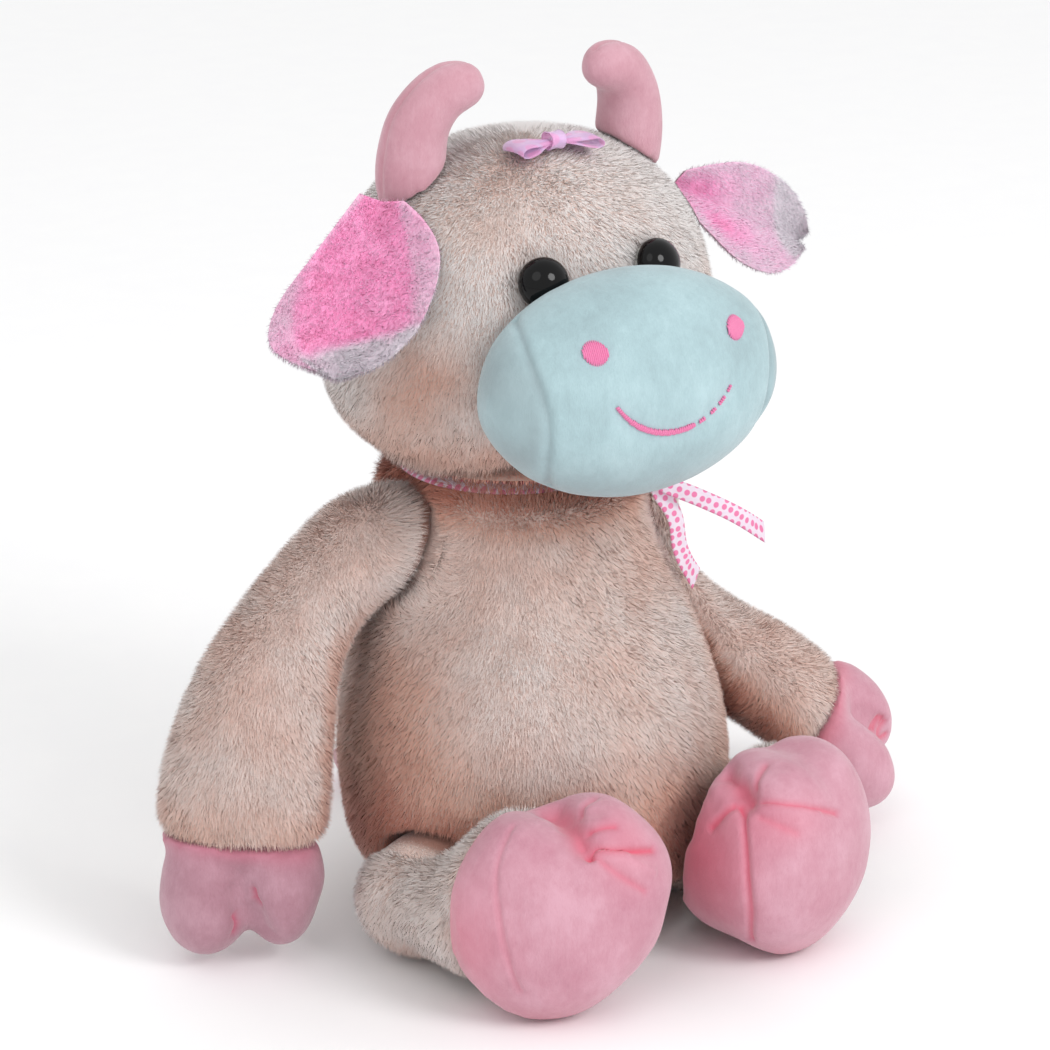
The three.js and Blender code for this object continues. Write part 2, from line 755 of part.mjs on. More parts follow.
// Horns: they rise, then bend in towards each other
const HORN_ROUTE_SHARES = [
  [0, 0, -0.12], [0.04, -0.03, 0.25], [0, -0.08, 0.52], [-0.15, -0.15, 0.7], [-0.4, -0.2, 0.71],
];
const HORN_SHARES = [[0, 1, 1], [0.35, 0.94, 0.94], [0.7, 0.78, 0.78], [1, 0.66, 0.66]];

function addHorns() {
  const head = stuffedForm(headForm, clearance);
  for (const [name, side] of Object.entries(SIDES)) {
    const base = headCentre.clone().add(toSide(side, hornSpacing / 2, 0, hornLift));
    const horn = stuffedForm({
      spine: route(side, base, HORN_ROUTE_SHARES, hornLength),
      rows: HORN_SHARES,
      width: hornBaseDiameter,
      depth: hornBaseDiameter,
      ends: { start: 0.04, finish: 0.16 },
      rings: 8,
      sides: 10,
    });
    addPiece(`horn_${name}`, horn.subtract(head), 'velour');
  }
}

// Ears: a leaf of two sewn panels, drooping on the right and held out on the left
const EAR_OUTLINE_SHARES = [
  [0, 0.3], [0.2, 0.62], [0.45, 0.95], [0.65, 1], [0.82, 0.86], [0.94, 0.52], [1, 0.16],
];
const EAR_SHARES = {
  right: {
    along: [0.53, -0.43, -0.73], facing: [0.43, -0.61, 0.67], dropShare: 0,
    lengthShare: 1, widthShare: 0.86, foldShare: 0.4, skewShare: 0.2,
  },
  left: {
    along: [0.88, -0.08, -0.45], facing: [0, -0.95, 0.3], dropShare: 0.16,
    lengthShare: 0.87, widthShare: 0.6, foldShare: 0.7, skewShare: 0.06,
  },
};

/** An ear's own frame: where it is sewn on, along its length, across it and out of its lining. */
function earFrame(name) {
  const side = SIDES[name];
  const pose = EAR_SHARES[name];
  const along = toSide(side, ...pose.along).normalize();
  const facing = toSide(side, ...pose.facing);
  const across = new THREE.Vector3().crossVectors(facing, along).normalize();
  const out = new THREE.Vector3().crossVectors(along, across);
  const base = headCentre.clone()
    .add(toSide(side, earSpacing / 2, -earAhead, earLift - pose.dropShare * earLength));
  return { base, along, across, out, pose };
}

/** One panel of an ear between two heights above the leaf's middle surface. */
function earPanel(name, low, high) {
  const { base, along, across, out, pose } = earFrame(name);
  const halfWidth = smoothTable(EAR_OUTLINE_SHARES);
  const lengthSteps = 6;
  const acrossSteps = 4;
  const points = [];
  for (const height of [low, high]) {
    for (let row = 0; row <= lengthSteps; row += 1) {
      const far = row / lengthSteps;
      const reach = halfWidth(far)[0] * pose.widthShare * earWidth / 2;
      const slant = pose.skewShare * Math.sin(Math.PI * far);
      for (let column = 0; column <= acrossSteps; column += 1) {
        const aside = (2 * column) / acrossSteps - 1;
        const lift = pose.foldShare * earFold * Math.abs(aside);
        points.push(base.clone()
          .addScaledVector(along, earLength * pose.lengthShare * (far - slant * aside))
          .addScaledVector(across, reach * aside)
          .addScaledVector(out, lift + height));
      }
    }
  }
  const columns = acrossSteps + 1;
  const sheet = (lengthSteps + 1) * columns;
  const index = [];
  const quad = (a, b, c, d) => index.push(a, b, c, a, c, d);
  for (let row = 0; row < lengthSteps; row += 1) {
    for (let column = 0; column < acrossSteps; column += 1) {
      const near = row * columns + column;
      quad(near, near + 1, near + columns + 1, near + columns);
      quad(sheet + near, sheet + near + columns, sheet + near + columns + 1, sheet + near + 1);
    }
    const left = row * columns;
    const right = left + acrossSteps;
    quad(left, left + columns, sheet + left + columns, sheet + left);
    quad(right, sheet + right, sheet + right + columns, right + columns);
  }
  const tip = lengthSteps * columns;
  for (let column = 0; column < acrossSteps; column += 1) {
    quad(column, sheet + column, sheet + column + 1, column + 1);
    quad(tip + column, tip + column + 1, sheet + tip + column + 1, sheet + tip + column);
  }
  return solidOf(new THREE.BufferGeometry().setFromPoints(points).setIndex(index));
}

function addEars() {
  const head = stuffedForm(headForm, clearance);
  for (const name of Object.keys(SIDES)) {
    const { base, across } = earFrame(name);
    const joint = { place: base, axis: across.clone().negate(), range: earSwing[name] };
    const lining = earPanel(name, clearance / 2, clearance / 2 + earPanelThickness);
    const back = earPanel(name, -clearance / 2 - earPanelThickness, -clearance / 2);
    addPiece(`ear_lining_${name}`, clearOf(lining, head, joint), 'earLining');
    addPiece(`ear_back_${name}`, clearOf(back, head, joint), 'earCloth');
  }
}

/** A flat strip of ribbon along a route, with a slanted end. */
function ribbonStrip(points, width, facing) {
  const spine = new THREE.CatmullRomCurve3(points, false, 'centripetal');
  const steps = 10;
  const rings = [];
  for (let step = 0; step <= steps; step += 1) {
    const share = step / steps;
    const along = spine.getTangentAt(share);
    const across = new THREE.Vector3().crossVectors(facing, along).normalize();
    const out = new THREE.Vector3().crossVectors(along, across);
    const slant = step === steps ? width * endSlantShare : 0;
    rings.push([[-1, -1], [1, -1], [1, 1], [-1, 1]].map(([aside, above]) => spine.getPointAt(share)
      .addScaledVector(along, -slant * (aside + 1) / 2)
      .addScaledVector(across, aside * width / 2)
      .addScaledVector(out, above * ribbonThickness / 2)));
  }
  const middle = (ring) => ring.reduce((sum, point) => sum.add(point), new THREE.Vector3())
    .divideScalar(ring.length);
  return solidOf(closedRings(middle(rings[0]), rings, middle(rings[steps])));
}

// Neck ribbon: a band in the crease under the head, with a knot and two loose ends on the left
const NECK_TAIL_SHARES = {
  neck_ribbon_end_front: [
    [0.06, -0.04, -0.08], [0.32, -0.14, -0.2], [0.6, -0.2, -0.36], [0.82, -0.24, -0.52],
  ],
  neck_ribbon_end_side: [
    [0.1, -0.02, -0.1], [0.24, -0.06, -0.32], [0.3, -0.06, -0.56], [0.42, -0.08, -0.8],
  ],
};

function addNeckRibbon() {
  const band = stuffedForm(torsoForm, clearance + ribbonThickness)
    .subtract(stuffedForm(torsoForm, clearance))
    .intersect(halfSpace(new THREE.Vector3(0, 0, neckBandHeight), UP))
    .intersect(halfSpace(new THREE.Vector3(0, 0, neckBandHeight + neckBandWidth), DOWN));
  const knotPlace = new THREE.Vector3(
    knotAside,
    neckPivotSetBack - knotAhead,
    neckBandHeight - neckBandWidth / 2,
  );
  const knotSize = { length: knotHeight, width: knotRadius * 2, depth: knotHeight };
  const knot = roundForm(knotPlace, knotSize, UP, { rings: 8, sides: 14 });
  addPiece('neck_ribbon', band.subtract(stuffedForm(knot, clearance)), 'ribbon');
  const torso = stuffedForm(torsoForm, clearance);
  addPiece('neck_ribbon_knot', stuffedForm(knot).subtract(torso), 'ribbon');
  for (const [name, shares] of Object.entries(NECK_TAIL_SHARES)) {
    const points = shares.map(([x, y, z]) => knotPlace.clone().add(
      new THREE.Vector3(x, y, z).multiplyScalar(neckTailLength),
    ));
    const strip = ribbonStrip(points, ribbonWidth, AHEAD);
    addPiece(name, strip.subtract(stuffedForm(knot, clearance)).subtract(torso), 'ribbon');
  }
}

// Head bow: two loops through a ring on the front of the head's crown
const BOW_LOOP_SHARES = [[0, 0.3, 0.5], [0.3, 0.62, 0.8], [0.7, 1, 1], [1, 0.9, 0.9]];

function addHeadBow() {
  const place = headCentre.clone().add(new THREE.Vector3(0, -bowAhead, headHeight / 2 - bowSink));
  const loops = Object.values(SIDES).map((side) => ({
    spine: new THREE.LineCurve3(
      place.clone().addScaledVector(OUTWARD, -side * clearance),
      place.clone().add(toSide(side, bowLoopLength, 0, -bowSink)),
    ),
    rows: BOW_LOOP_SHARES,
    width: bowLoopWidth,
    depth: bowLoopThickness,
    ends: { start: 0.04, finish: 0.3 },
    facing: UP,
    rings: 9,
    sides: 10,
  }));
  const centredPeg = (radius, length) => {
    const start = place.clone().addScaledVector(OUTWARD, -length / 2);
    return peg(start, OUTWARD, radius, length, 14);
  };
  const waist = centredPeg(bowWaistRadius, bowKnotLength * 2);
  const room = centredPeg(bowKnotRadius + clearance, bowKnotLength + clearance * 2);
  const ring = centredPeg(bowKnotRadius, bowKnotLength)
    .subtract(centredPeg(bowWaistRadius + clearance, bowKnotLength * 2));
  const pair = stuffedForm(loops[0]).add(stuffedForm(loops[1]));
  const head = stuffedForm(headForm, clearance);
  addPiece('head_bow_loops', pair.subtract(room).add(pair.intersect(waist)).subtract(head), 'organza');
  addPiece('head_bow_knot', ring.subtract(head), 'organza');
}

// Tail: a sewn cord that hangs down behind and ends in a tuft on the floor
const TAIL_ROUTE_SHARES = [
  [0, -0.1, 0.02], [0, 0.2, 0], [-0.02, 0.42, -0.16], [-0.05, 0.52, -0.4], [-0.08, 0.6, -0.6],
];
const TUFT_ROUTE_SHARES = [[0, 0, 0.12], [-0.1, 0.4, -0.02], [-0.2, 0.85, -0.04]];
const TUFT_SHARES = [[0, 0.7, 0.7], [0.4, 1, 1], [0.75, 0.7, 0.7], [1, 0.3, 0.3]];

function addTail() {
  const base = new THREE.Vector3(0, torsoDepth / 2, tailHeight);
  const spine = route(SIDES.left, base, TAIL_ROUTE_SHARES, tailLength);
  const end = spine.getPointAt(1);
  const tuftForm = {
    spine: route(SIDES.left, end, TUFT_ROUTE_SHARES, tuftLength),
    rows: TUFT_SHARES,
    width: tuftDiameter,
    depth: tuftDiameter,
    ends: { start: 0.3, finish: 0.4 },
    facing: UP,
    rings: 9,
    sides: 12,
  };
  const cord = stuffedForm({
    spine,
    rows: [[0, 1, 1], [1, 0.9, 0.9]],
    width: tailDiameter,
    depth: tailDiameter,
    ends: { start: 0.05, finish: 0.08 },
    facing: OUTWARD,
    rings: 12,
    sides: 10,
  });
  const torso = stuffedForm(torsoForm, clearance);
  const joint = { place: base, axis: UP, range: tailSwing };
  addPiece('tail', clearOf(cord.subtract(stuffedForm(tuftForm, clearance)), torso, joint), 'fur');
  addPiece('tail_tuft', clearOf(stuffedForm(tuftForm), torso, joint), 'velour');
}

addTorso();
addHead();
addMuzzle();
addEmbroidery();
addHorns();
addEars();
addArms();
addLegs();
addTail();
addNeckRibbon();
addHeadBow();

export default cow;
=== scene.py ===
"""A seated plush cow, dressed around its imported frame: skins, pile, hooves, ears, ribbons and light.

Every form is worked out with numpy in the row frame, in metres: +Z is up, the face looks along -Y and
the cow's left side is at +X.
"""

import logging
import math
from dataclasses import dataclass, field, replace
from enum import Enum
from typing import Callable, Optional, Sequence

import bpy
import numpy as np
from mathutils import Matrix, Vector
from mathutils.bvhtree import BVHTree


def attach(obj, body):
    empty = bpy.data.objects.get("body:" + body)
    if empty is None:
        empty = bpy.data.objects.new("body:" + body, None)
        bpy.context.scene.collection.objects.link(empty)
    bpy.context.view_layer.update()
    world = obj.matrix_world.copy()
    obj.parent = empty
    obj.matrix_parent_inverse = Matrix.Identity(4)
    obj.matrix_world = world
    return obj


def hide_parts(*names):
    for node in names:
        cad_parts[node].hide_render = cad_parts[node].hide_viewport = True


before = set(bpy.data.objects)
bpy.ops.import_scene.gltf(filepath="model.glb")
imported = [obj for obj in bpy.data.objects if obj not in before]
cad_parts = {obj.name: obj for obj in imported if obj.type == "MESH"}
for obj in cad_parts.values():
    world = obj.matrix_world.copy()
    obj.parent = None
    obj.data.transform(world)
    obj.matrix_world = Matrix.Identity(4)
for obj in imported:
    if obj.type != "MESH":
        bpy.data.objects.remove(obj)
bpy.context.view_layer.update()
log = logging.getLogger("plush_cow")

UP = np.array([0.0, 0.0, 1.0])
AHEAD = np.array([0.0, -1.0, 0.0])
OUTWARD = np.array([1.0, 0.0, 0.0])
CLEARANCE = 0.0003
PILE_ROOM = 0.0036
VELOUR_ROOM = 0.0004
SOCKET_ROOM = 0.0007
Array = np.ndarray
Shares = Sequence[Sequence[float]]


class Side(Enum):
    """The two sides of the cow, by the sign of X."""

    RIGHT = -1
    LEFT = 1

    @property
    def word(self) -> str:
        """The side's name as the pieces carry it."""
        return self.name.lower()

    def place(self, out: float, back: float, rise: float) -> Array:
        """A point or direction given outwards, backwards and upwards, mirrored to this side."""
        return np.array([self.value * out, back, rise], float)


class Operation(Enum):
    """What is done with two closed meshes."""

    CUT = "DIFFERENCE"
    JOIN = "UNION"
    KEEP = "INTERSECT"


def unit(vectors: Array) -> Array:
    """Each vector divided by its length."""
    vectors = np.asarray(vectors, float)
    length = np.linalg.norm(vectors, axis=-1, keepdims=True)
    return vectors / np.maximum(length, 1e-12)


def soft_step(values: Array, low: float, high: float) -> Array:
    """0 below low, 1 above high, and the cubic 3t^2 - 2t^3 between them."""
    t = np.clip((np.asarray(values, float) - low) / (high - low), 0, 1)
    return t * t * (3 - 2 * t)


def bump_at(points: Array, centre: Sequence[float], reach: Sequence[float]) -> Array:
    """exp(-d^2), where d is the distance from the centre counted in reaches along X, Y and Z."""
    return np.exp(-(((points - np.array(centre)) / np.array(reach)) ** 2).sum(-1))


def cloudy(points: Array, size: float, seed: int) -> Array:
    """Smooth noise from -1 to 1: random values at the corners of cubes of a size, blended between them.

    Args:
        points: Places, n by 3.
        size: The edge of a cube.
        seed: Picks the random values.

    Returns:
        One value for each place.
    """
    table = np.random.default_rng(seed).uniform(-1, 1, (32, 32, 32))
    scaled = points / size
    low = np.floor(scaled).astype(int)
    t = scaled - low
    t = t * t * (3 - 2 * t)
    total = np.zeros(len(points))
    for corner in range(8):
        step = np.array([corner & 1, corner >> 1 & 1, corner >> 2 & 1])
        weight = np.where(step, t, 1 - t).prod(-1)
        at = (low + step) % 32
        total += weight * table[at[:, 0], at[:, 1], at[:, 2]]
    return total


class Spline:
    """A smooth centripetal Catmull-Rom curve through places, read by the share of its length."""

    def __init__(self, places: Array) -> None:
        """Samples each stretch between two places with the cubic that both slopes give."""
        inner = np.asarray(places, float)
        p = np.vstack([2 * inner[0] - inner[1], inner, 2 * inner[-1] - inner[-2]])
        gap = (((p[1:] - p[:-1]) ** 2).sum(-1) ** 0.25)[:, None]
        before, here, after = gap[:-2], gap[1:-1], gap[2:]
        p0, p1, p2, p3 = p[:-3], p[1:-2], p[2:-1], p[3:]
        leaving = ((p1 - p0) / before - (p2 - p0) / (before + here) + (p2 - p1) / here) * here
        arriving = ((p2 - p1) / here - (p3 - p1) / (here + after) + (p3 - p2) / after) * here
        t = np.linspace(0, 1, 60)[None, :, None]
        a, b, c, d = (x[:, None, :] for x in (p1, p2, leaving, arriving))
        curve = a + c * t + (3 * (b - a) - 2 * c - d) * t**2 + (2 * (a - b) + c + d) * t**3
        points = curve.reshape(-1, 3)
        keep = np.r_[True, np.linalg.norm(np.diff(points, axis=0), axis=1) > 1e-9]
        self.points = points[keep]
        steps = np.linalg.norm(np.diff(self.points, axis=0), axis=1)
        self.length = float(steps.sum())
        self.shares = np.r_[0, np.cumsum(steps)] / self.length

    def at(self, share: Array) -> Array:
        """The points at shares of the length."""
        share = np.atleast_1d(share)
        return np.stack([np.interp(share, self.shares, self.points[:, k]) for k in range(3)], -1)

    def along(self, share: Array) -> Array:
        """The unit tangents at shares of the length."""
        share = np.atleast_1d(share)
        low, high = np.clip(share - 0.004, 0, 1), np.clip(share + 0.004, 0, 1)
        return unit(self.at(high) - self.at(low))


def read_shares(rows: Shares, share: Array) -> Array:
    """A table of shares read smoothly: cubics whose slopes follow the rows on both sides.

    Args:
        rows: A place along the form and its values, in order.
        share: Where to read it.

    Returns:
        The values, one row for each place read.
    """
    table = np.array(rows, float)
    places, values = table[:, 0], table[:, 1:]
    i = np.clip(np.searchsorted(places, share, side="right") - 1, 0, len(places) - 2)
    t0, t1 = places[i], places[i + 1]
    first, last = i == 0, i == len(places) - 2
    before = np.where(first, i + 1, i - 1)
    after = np.where(last, i, np.minimum(i + 2, len(places) - 1))
    half = (t1 - t0) / 2
    weight_before = (half / (t0 - places[before]))[:, None]
    weight_after = (half / (places[after] - t1))[:, None]
    p = ((share - t0) / (t1 - t0))[:, None]
    pp, ppp = p * p, p * p * p
    return (
        (-weight_before * ppp + 2 * weight_before * pp - weight_before * p) * values[before]
        + ((1 + weight_before) * ppp + (-1.5 - 2 * weight_before) * pp
           + (-0.5 + weight_before) * p + 1) * values[i]
        + ((-1 - weight_after) * ppp + (1.5 + weight_after) * pp + 0.5 * p) * values[i + 1]
        + (weight_after * ppp - weight_after * pp) * values[after]
    )


@dataclass
class Shell:
    """A mesh as arrays of points, quads and triangles."""

    points: Array
    quads: Array
    triangles: Array = field(default_factory=lambda: np.zeros((0, 3), int))

    def piece(self, name: str) -> bpy.types.Object:
        """The mesh as an object at the origin.

        Args:
            name: The object's name.

        Returns:
            The object, linked into the scene.
        """
        mesh = bpy.data.meshes.new(name)
        corners = np.r_[self.quads.ravel(), self.triangles.ravel()].astype(np.int32)
        sizes = np.r_[np.full(len(self.quads), 4), np.full(len(self.triangles), 3)]
        mesh.vertices.add(len(self.points))
        mesh.vertices.foreach_set("co", self.points.astype(np.float32).ravel())
        mesh.loops.add(len(corners))
        mesh.loops.foreach_set("vertex_index", corners)
        mesh.polygons.add(len(sizes))
        starts = np.r_[0, np.cumsum(sizes)[:-1]].astype(np.int32)
        mesh.polygons.foreach_set("loop_start", starts)
        mesh.polygons.foreach_set("use_smooth", np.ones(len(sizes), bool))
        mesh.update(calc_edges=True)
        piece = bpy.data.objects.new(name, mesh)
        bpy.context.scene.collection.objects.link(piece)
        return piece


def closed_rings(start: Array, rings: Array, end: Array) -> Shell:
    """A closed surface: a pole, rings of points one after the other, and a pole.

    Args:
        start: The first pole.
        rings: Rings by sides by 3, turning left-handed about the way from start to end.
        end: The last pole.

    Returns:
        The surface, with its faces outwards.
    """
    count, sides = rings.shape[:2]
    points = np.vstack([start, rings.reshape(-1, 3), end])
    ring, corner = np.meshgrid(np.arange(count - 1), np.arange(sides), indexing="ij")
    near = 1 + ring * sides + corner
    near_next = 1 + ring * sides + (corner + 1) % sides
    quads = np.stack([near, near_next, near_next + sides, near + sides], -1).reshape(-1, 4)
    side = np.arange(sides)
    after = (side + 1) % sides
    first = np.stack([np.zeros(sides, int), 1 + after, 1 + side], -1)
    base = 1 + (count - 1) * sides
    last = np.stack([np.full(sides, len(points) - 1), base + side, base + after], -1)
    return Shell(points, quads, np.vstack([first, last]))


def open_grid(points: Array) -> Shell:
    """A sheet through rows by columns of points."""
    rows, columns = points.shape[:2]
    row, column = np.meshgrid(np.arange(rows - 1), np.arange(columns - 1), indexing="ij")
    near = row * columns + column
    quads = np.stack([near, near + 1, near + columns + 1, near + columns], -1).reshape(-1, 4)
    return Shell(points.reshape(-1, 3), quads)


@dataclass
class StuffedForm:
    """Oval rings along a spine that swell and taper, closed at both ends by domes.

    At a share s of the way, the half width is width/2 times its table's value, the half depth
    likewise, and both are times dome(s/start) and dome((1-s)/finish), where
    dome(p) = (1 - (1-p)^f)^(1/f) with the flatness f.
    """

    spine: Spline
    width: float
    depth: float
    rows: Shares = ((0, 1, 1), (1, 1, 1))
    start: float = 0.5
    finish: float = 0.5
    flatness: float = 2.0
    start_flatness: Optional[float] = None
    facing: Array = field(default_factory=lambda: AHEAD)
    pinch: Optional[Callable[[Array, Array], Array]] = None

    def shell(self, grow: float = 0.0, rings: int = 56, sides: int = 72) -> Shell:
        """The form's surface, moved outwards everywhere by grow."""
        share = (1 - np.cos(np.pi * np.arange(1, rings) / rings)) / 2
        along = self.spine.along(share)
        centre = self.spine.at(share) + along * (grow * (2 * share - 1))[:, None]
        across = unit(np.cross(self.facing, along))
        ahead = np.cross(along, across)
        girth = read_shares(self.rows, share)
        first = self.start_flatness or self.flatness
        left = dome(share / self.start, first) * dome((1 - share) / self.finish, self.flatness)
        angle = 2 * np.pi * np.arange(sides) / sides
        drawn = self.pinch(share[:, None], angle[None, :]) if self.pinch else 1.0
        wide = (girth[:, :1] * self.width / 2 + grow) * left[:, None] * drawn * np.cos(angle)
        deep = (girth[:, 1:] * self.depth / 2 + grow) * left[:, None] * drawn * np.sin(angle)
        points = centre[:, None] + across[:, None] * wide[..., None] + ahead[:, None] * deep[..., None]
        ends = np.array([0.0, 1.0])
        poles = self.spine.at(ends) + self.spine.along(ends) * np.array([[-grow], [grow]])
        return closed_rings(poles[0], points, poles[1])


def dome(part: Array, flatness: float) -> Array:
    """The share of the girth left at a part of the way into a rounded end."""
    return (1 - (1 - np.minimum(part, 1)) ** flatness) ** (1 / flatness)


def round_form(centre: Array, length: float, width: float, depth: float, direction: Array,
               **options: object) -> StuffedForm:
    """An ellipsoid as a stuffed form, with its poles along a direction."""
    reach = np.asarray(direction) * length / 2
    return StuffedForm(Spline(np.array([centre - reach, centre + reach])), width, depth, **options)


def turned_profile(profile: Array, place: Array, axis: Array, sides: int = 48) -> Shell:
    """A profile turned about an axis: each row gives a radius and a height along the axis.

    Args:
        profile: Rows of radius and height from the first pole to the last, both on the axis.
        place: Where height 0 lies.
        axis: The direction of growing height.
        sides: Points in each ring.

    Returns:
        The closed surface.
    """
    axis = unit(axis)
    helper = OUTWARD if abs(axis[0]) < 0.9 else UP
    across = unit(np.cross(helper, axis))
    ahead = np.cross(axis, across)
    angle = 2 * np.pi * np.arange(sides) / sides
    ring = across * np.cos(angle)[:, None] + ahead * np.sin(angle)[:, None]
    inner = profile[1:-1]
    rings = place + axis * inner[:, 1, None, None] + ring[None] * inner[:, 0, None, None]
    return closed_rings(place + axis * profile[0, 1], rings, place + axis * profile[-1, 1])


def peg(place: Array, axis: Array, radius: float, length: float) -> Shell:
    """A round peg from a place along an axis."""
    profile = np.array([[0, 0], [radius, 0], [radius, length], [0, length]], float)
    return turned_profile(profile, place, axis)


def half_space(place: Array, normal: Array, reach: float = 0.7) -> Shell:
    """A wide block whose flat face passes through a place and looks against the normal."""
    return peg(place, normal, reach, reach)


def turned_about(shell: Shell, place: Array, axis: Array, degrees: float) -> Shell:
    """A shell turned about an axis through a place, by Rodrigues' formula."""
    angle = math.radians(degrees)
    arm = shell.points - place
    axis = unit(axis)
    turned = (arm * math.cos(angle) + np.cross(axis, arm) * math.sin(angle)
              + axis * (arm @ axis)[:, None] * (1 - math.cos(angle)))
    return Shell(turned + place, shell.quads, shell.triangles)


def read_vectors(items: Sequence, key: str) -> Array:
    """A vector of every item of a mesh, such as each vertex's place, n by 3."""
    values = np.empty(len(items) * 3, np.float32)
    items.foreach_get(key, values)
    return values.reshape(-1, 3).astype(float)


def coordinates(piece: bpy.types.Object) -> Array:
    """The piece's vertices, n by 3."""
    return read_vectors(piece.data.vertices, "co")


def move_to(piece: bpy.types.Object, points: Array) -> None:
    """Writes new places into the piece's vertices."""
    piece.data.vertices.foreach_set("co", points.astype(np.float32).ravel())
    piece.data.update()


def normals_of(piece: bpy.types.Object) -> Array:
    """The piece's vertex normals, n by 3."""
    return read_vectors(piece.data.vertex_normals, "vector")


def triangles_of(piece: bpy.types.Object) -> Array:
    """The piece's triangles as vertex numbers, n by 3."""
    piece.data.calc_loop_triangles()
    index = np.empty(len(piece.data.loop_triangles) * 3, np.int32)
    piece.data.loop_triangles.foreach_get("vertices", index)
    return index.reshape(-1, 3)


def push_out(piece: bpy.types.Object, amount: Array) -> None:
    """Moves each vertex along its normal by an amount of its own."""
    move_to(piece, coordinates(piece) + normals_of(piece) * amount[:, None])


def keep_above(piece: bpy.types.Object, floor: float) -> None:
    """Lifts every vertex that lies under a height up to it."""
    points = coordinates(piece)
    points[:, 2] = np.maximum(points[:, 2], floor)
    move_to(piece, points)


def corners_of(piece: bpy.types.Object) -> Array:
    """The vertex number at each corner of the piece's faces."""
    index = np.empty(len(piece.data.loops), np.int32)
    piece.data.loops.foreach_get("vertex_index", index)
    return index


def lay_map(piece: bpy.types.Object, name: str, uv: Array) -> None:
    """Writes a UV map with one place for each corner of the faces."""
    layer = piece.data.uv_layers.new(name=name)
    layer.data.foreach_set("uv", uv.astype(np.float32).ravel())


def settle_modifiers(piece: bpy.types.Object) -> None:
    """Takes the piece's modifiers into its mesh, so that none is left live."""
    bpy.context.view_layer.update()
    evaluated = piece.evaluated_get(bpy.context.evaluated_depsgraph_get())
    mesh = bpy.data.meshes.new_from_object(evaluated)
    old = piece.data
    piece.modifiers.clear()
    piece.data = mesh
    mesh.name = piece.name
    bpy.data.meshes.remove(old)
    mesh.polygons.foreach_set("use_smooth", np.ones(len(mesh.polygons), bool))


def shape_with(piece: bpy.types.Object, tool: Shell, operation: Operation) -> bpy.types.Object:
    """Cuts a piece with a closed tool, joins the two or keeps what both hold.

    Args:
        piece: The piece, which is changed.
        tool: The other closed surface.
        operation: What is done with it.

    Returns:
        The piece.
    """
    other = tool.piece("tool")
    modifier = piece.modifiers.new("shape", "BOOLEAN")
    modifier.operation = operation.value
    modifier.object = other
    modifier.solver = "MANIFOLD"
    settle_modifiers(piece)
    mesh = other.data
    bpy.data.objects.remove(other)
    bpy.data.meshes.remove(mesh)
    return piece


def fill_out(piece: bpy.types.Object, voxel: float, reach: float, levels: int = 1,
             smoothing: int = 4, pressure: float = 4.0) -> bpy.types.Object:
    """Makes a skin of even faces and fills it as stuffing does.

    The skin is remeshed, its steps are smoothed, and cloth under pressure swells it. No point moves
    further than the reach. A subdivision rounds the result.

    Args:
        piece: A closed mesh.
        voxel: The size of the even faces.
        reach: How far a point may move.
        levels: Subdivisions at the end.
        smoothing: Passes of smoothing.
        pressure: The pressure inside.

    Returns:
        The piece.
    """
    remesh = piece.modifiers.new("even", "REMESH")
    remesh.mode = "VOXEL"
    remesh.voxel_size = voxel
    smooth = piece.modifiers.new("steps", "SMOOTH")
    smooth.factor = 0.5
    smooth.iterations = smoothing
    settle_modifiers(piece)
    swell(piece, reach, pressure)
    if levels:
        rounding = piece.modifiers.new("round", "SUBSURF")
        rounding.levels = levels
        rounding.render_levels = levels
        settle_modifiers(piece)
    return piece


def swell(piece: bpy.types.Object, reach: float, pressure: float) -> None:
    """Runs cloth with pressure and no gravity for twenty frames, and caps the movement.

    Args:
        piece: The closed skin.
        reach: How far a point may move.
        pressure: The pressure inside.
    """
    start = coordinates(piece)
    cloth = piece.modifiers.new("stuffing", "CLOTH")
    settings = cloth.settings
    settings.use_pressure = True
    settings.uniform_pressure_force = pressure
    settings.quality = 4
    settings.mass = 0.3
    settings.tension_stiffness = 15
    settings.compression_stiffness = 15
    settings.bending_stiffness = 0.4
    settings.effector_weights.gravity = 0
    scene = bpy.context.scene
    for step in range(1, 21):
        scene.frame_set(step)
    evaluated = piece.evaluated_get(bpy.context.evaluated_depsgraph_get())
    move = read_vectors(evaluated.data.vertices, "co") - start
    length = np.linalg.norm(move, axis=1, keepdims=True)
    move *= np.minimum(1, reach / np.maximum(length, 1e-9))
    piece.modifiers.clear()
    scene.frame_set(1)
    move_to(piece, start + move)


def fit_round(piece: bpy.types.Object, place: Array, axis: Array, radius: float, heights: tuple,
              outside: bool) -> None:
    """Keeps a skin clear of a round joint: points on the wrong side of the radius move straight to it.

    Args:
        piece: The skin.
        place: The middle of the joint.
        axis: Its axis.
        radius: The radius that the points keep to.
        heights: The stretch of the axis that this holds for.
        outside: Whether the points stay outside the radius, as a socket does, or inside, as a plug.
    """
    points = coordinates(piece)
    arm = points - place
    high = arm @ axis
    flat = arm - high[:, None] * axis
    wide = np.linalg.norm(flat, axis=1)
    wrong = (wide < radius) if outside else (wide > radius)
    wrong &= (high > heights[0]) & (high < heights[1])
    moved = place + high[:, None] * axis + flat * (radius / np.maximum(wide, 1e-9))[:, None]
    move_to(piece, np.where(wrong[:, None], moved, points))


def distance_to_line(points: Array, line: Array) -> Array:
    """The distance from each point to the nearest stretch of a line through places."""
    best = np.full(len(points), 1e9)
    for a, b in zip(line[:-1], line[1:]):
        way = b - a
        t = np.clip(((points - a) @ way) / max(way @ way, 1e-12), 0, 1)
        best = np.minimum(best, np.linalg.norm(points - a - t[:, None] * way, axis=1))
    return best


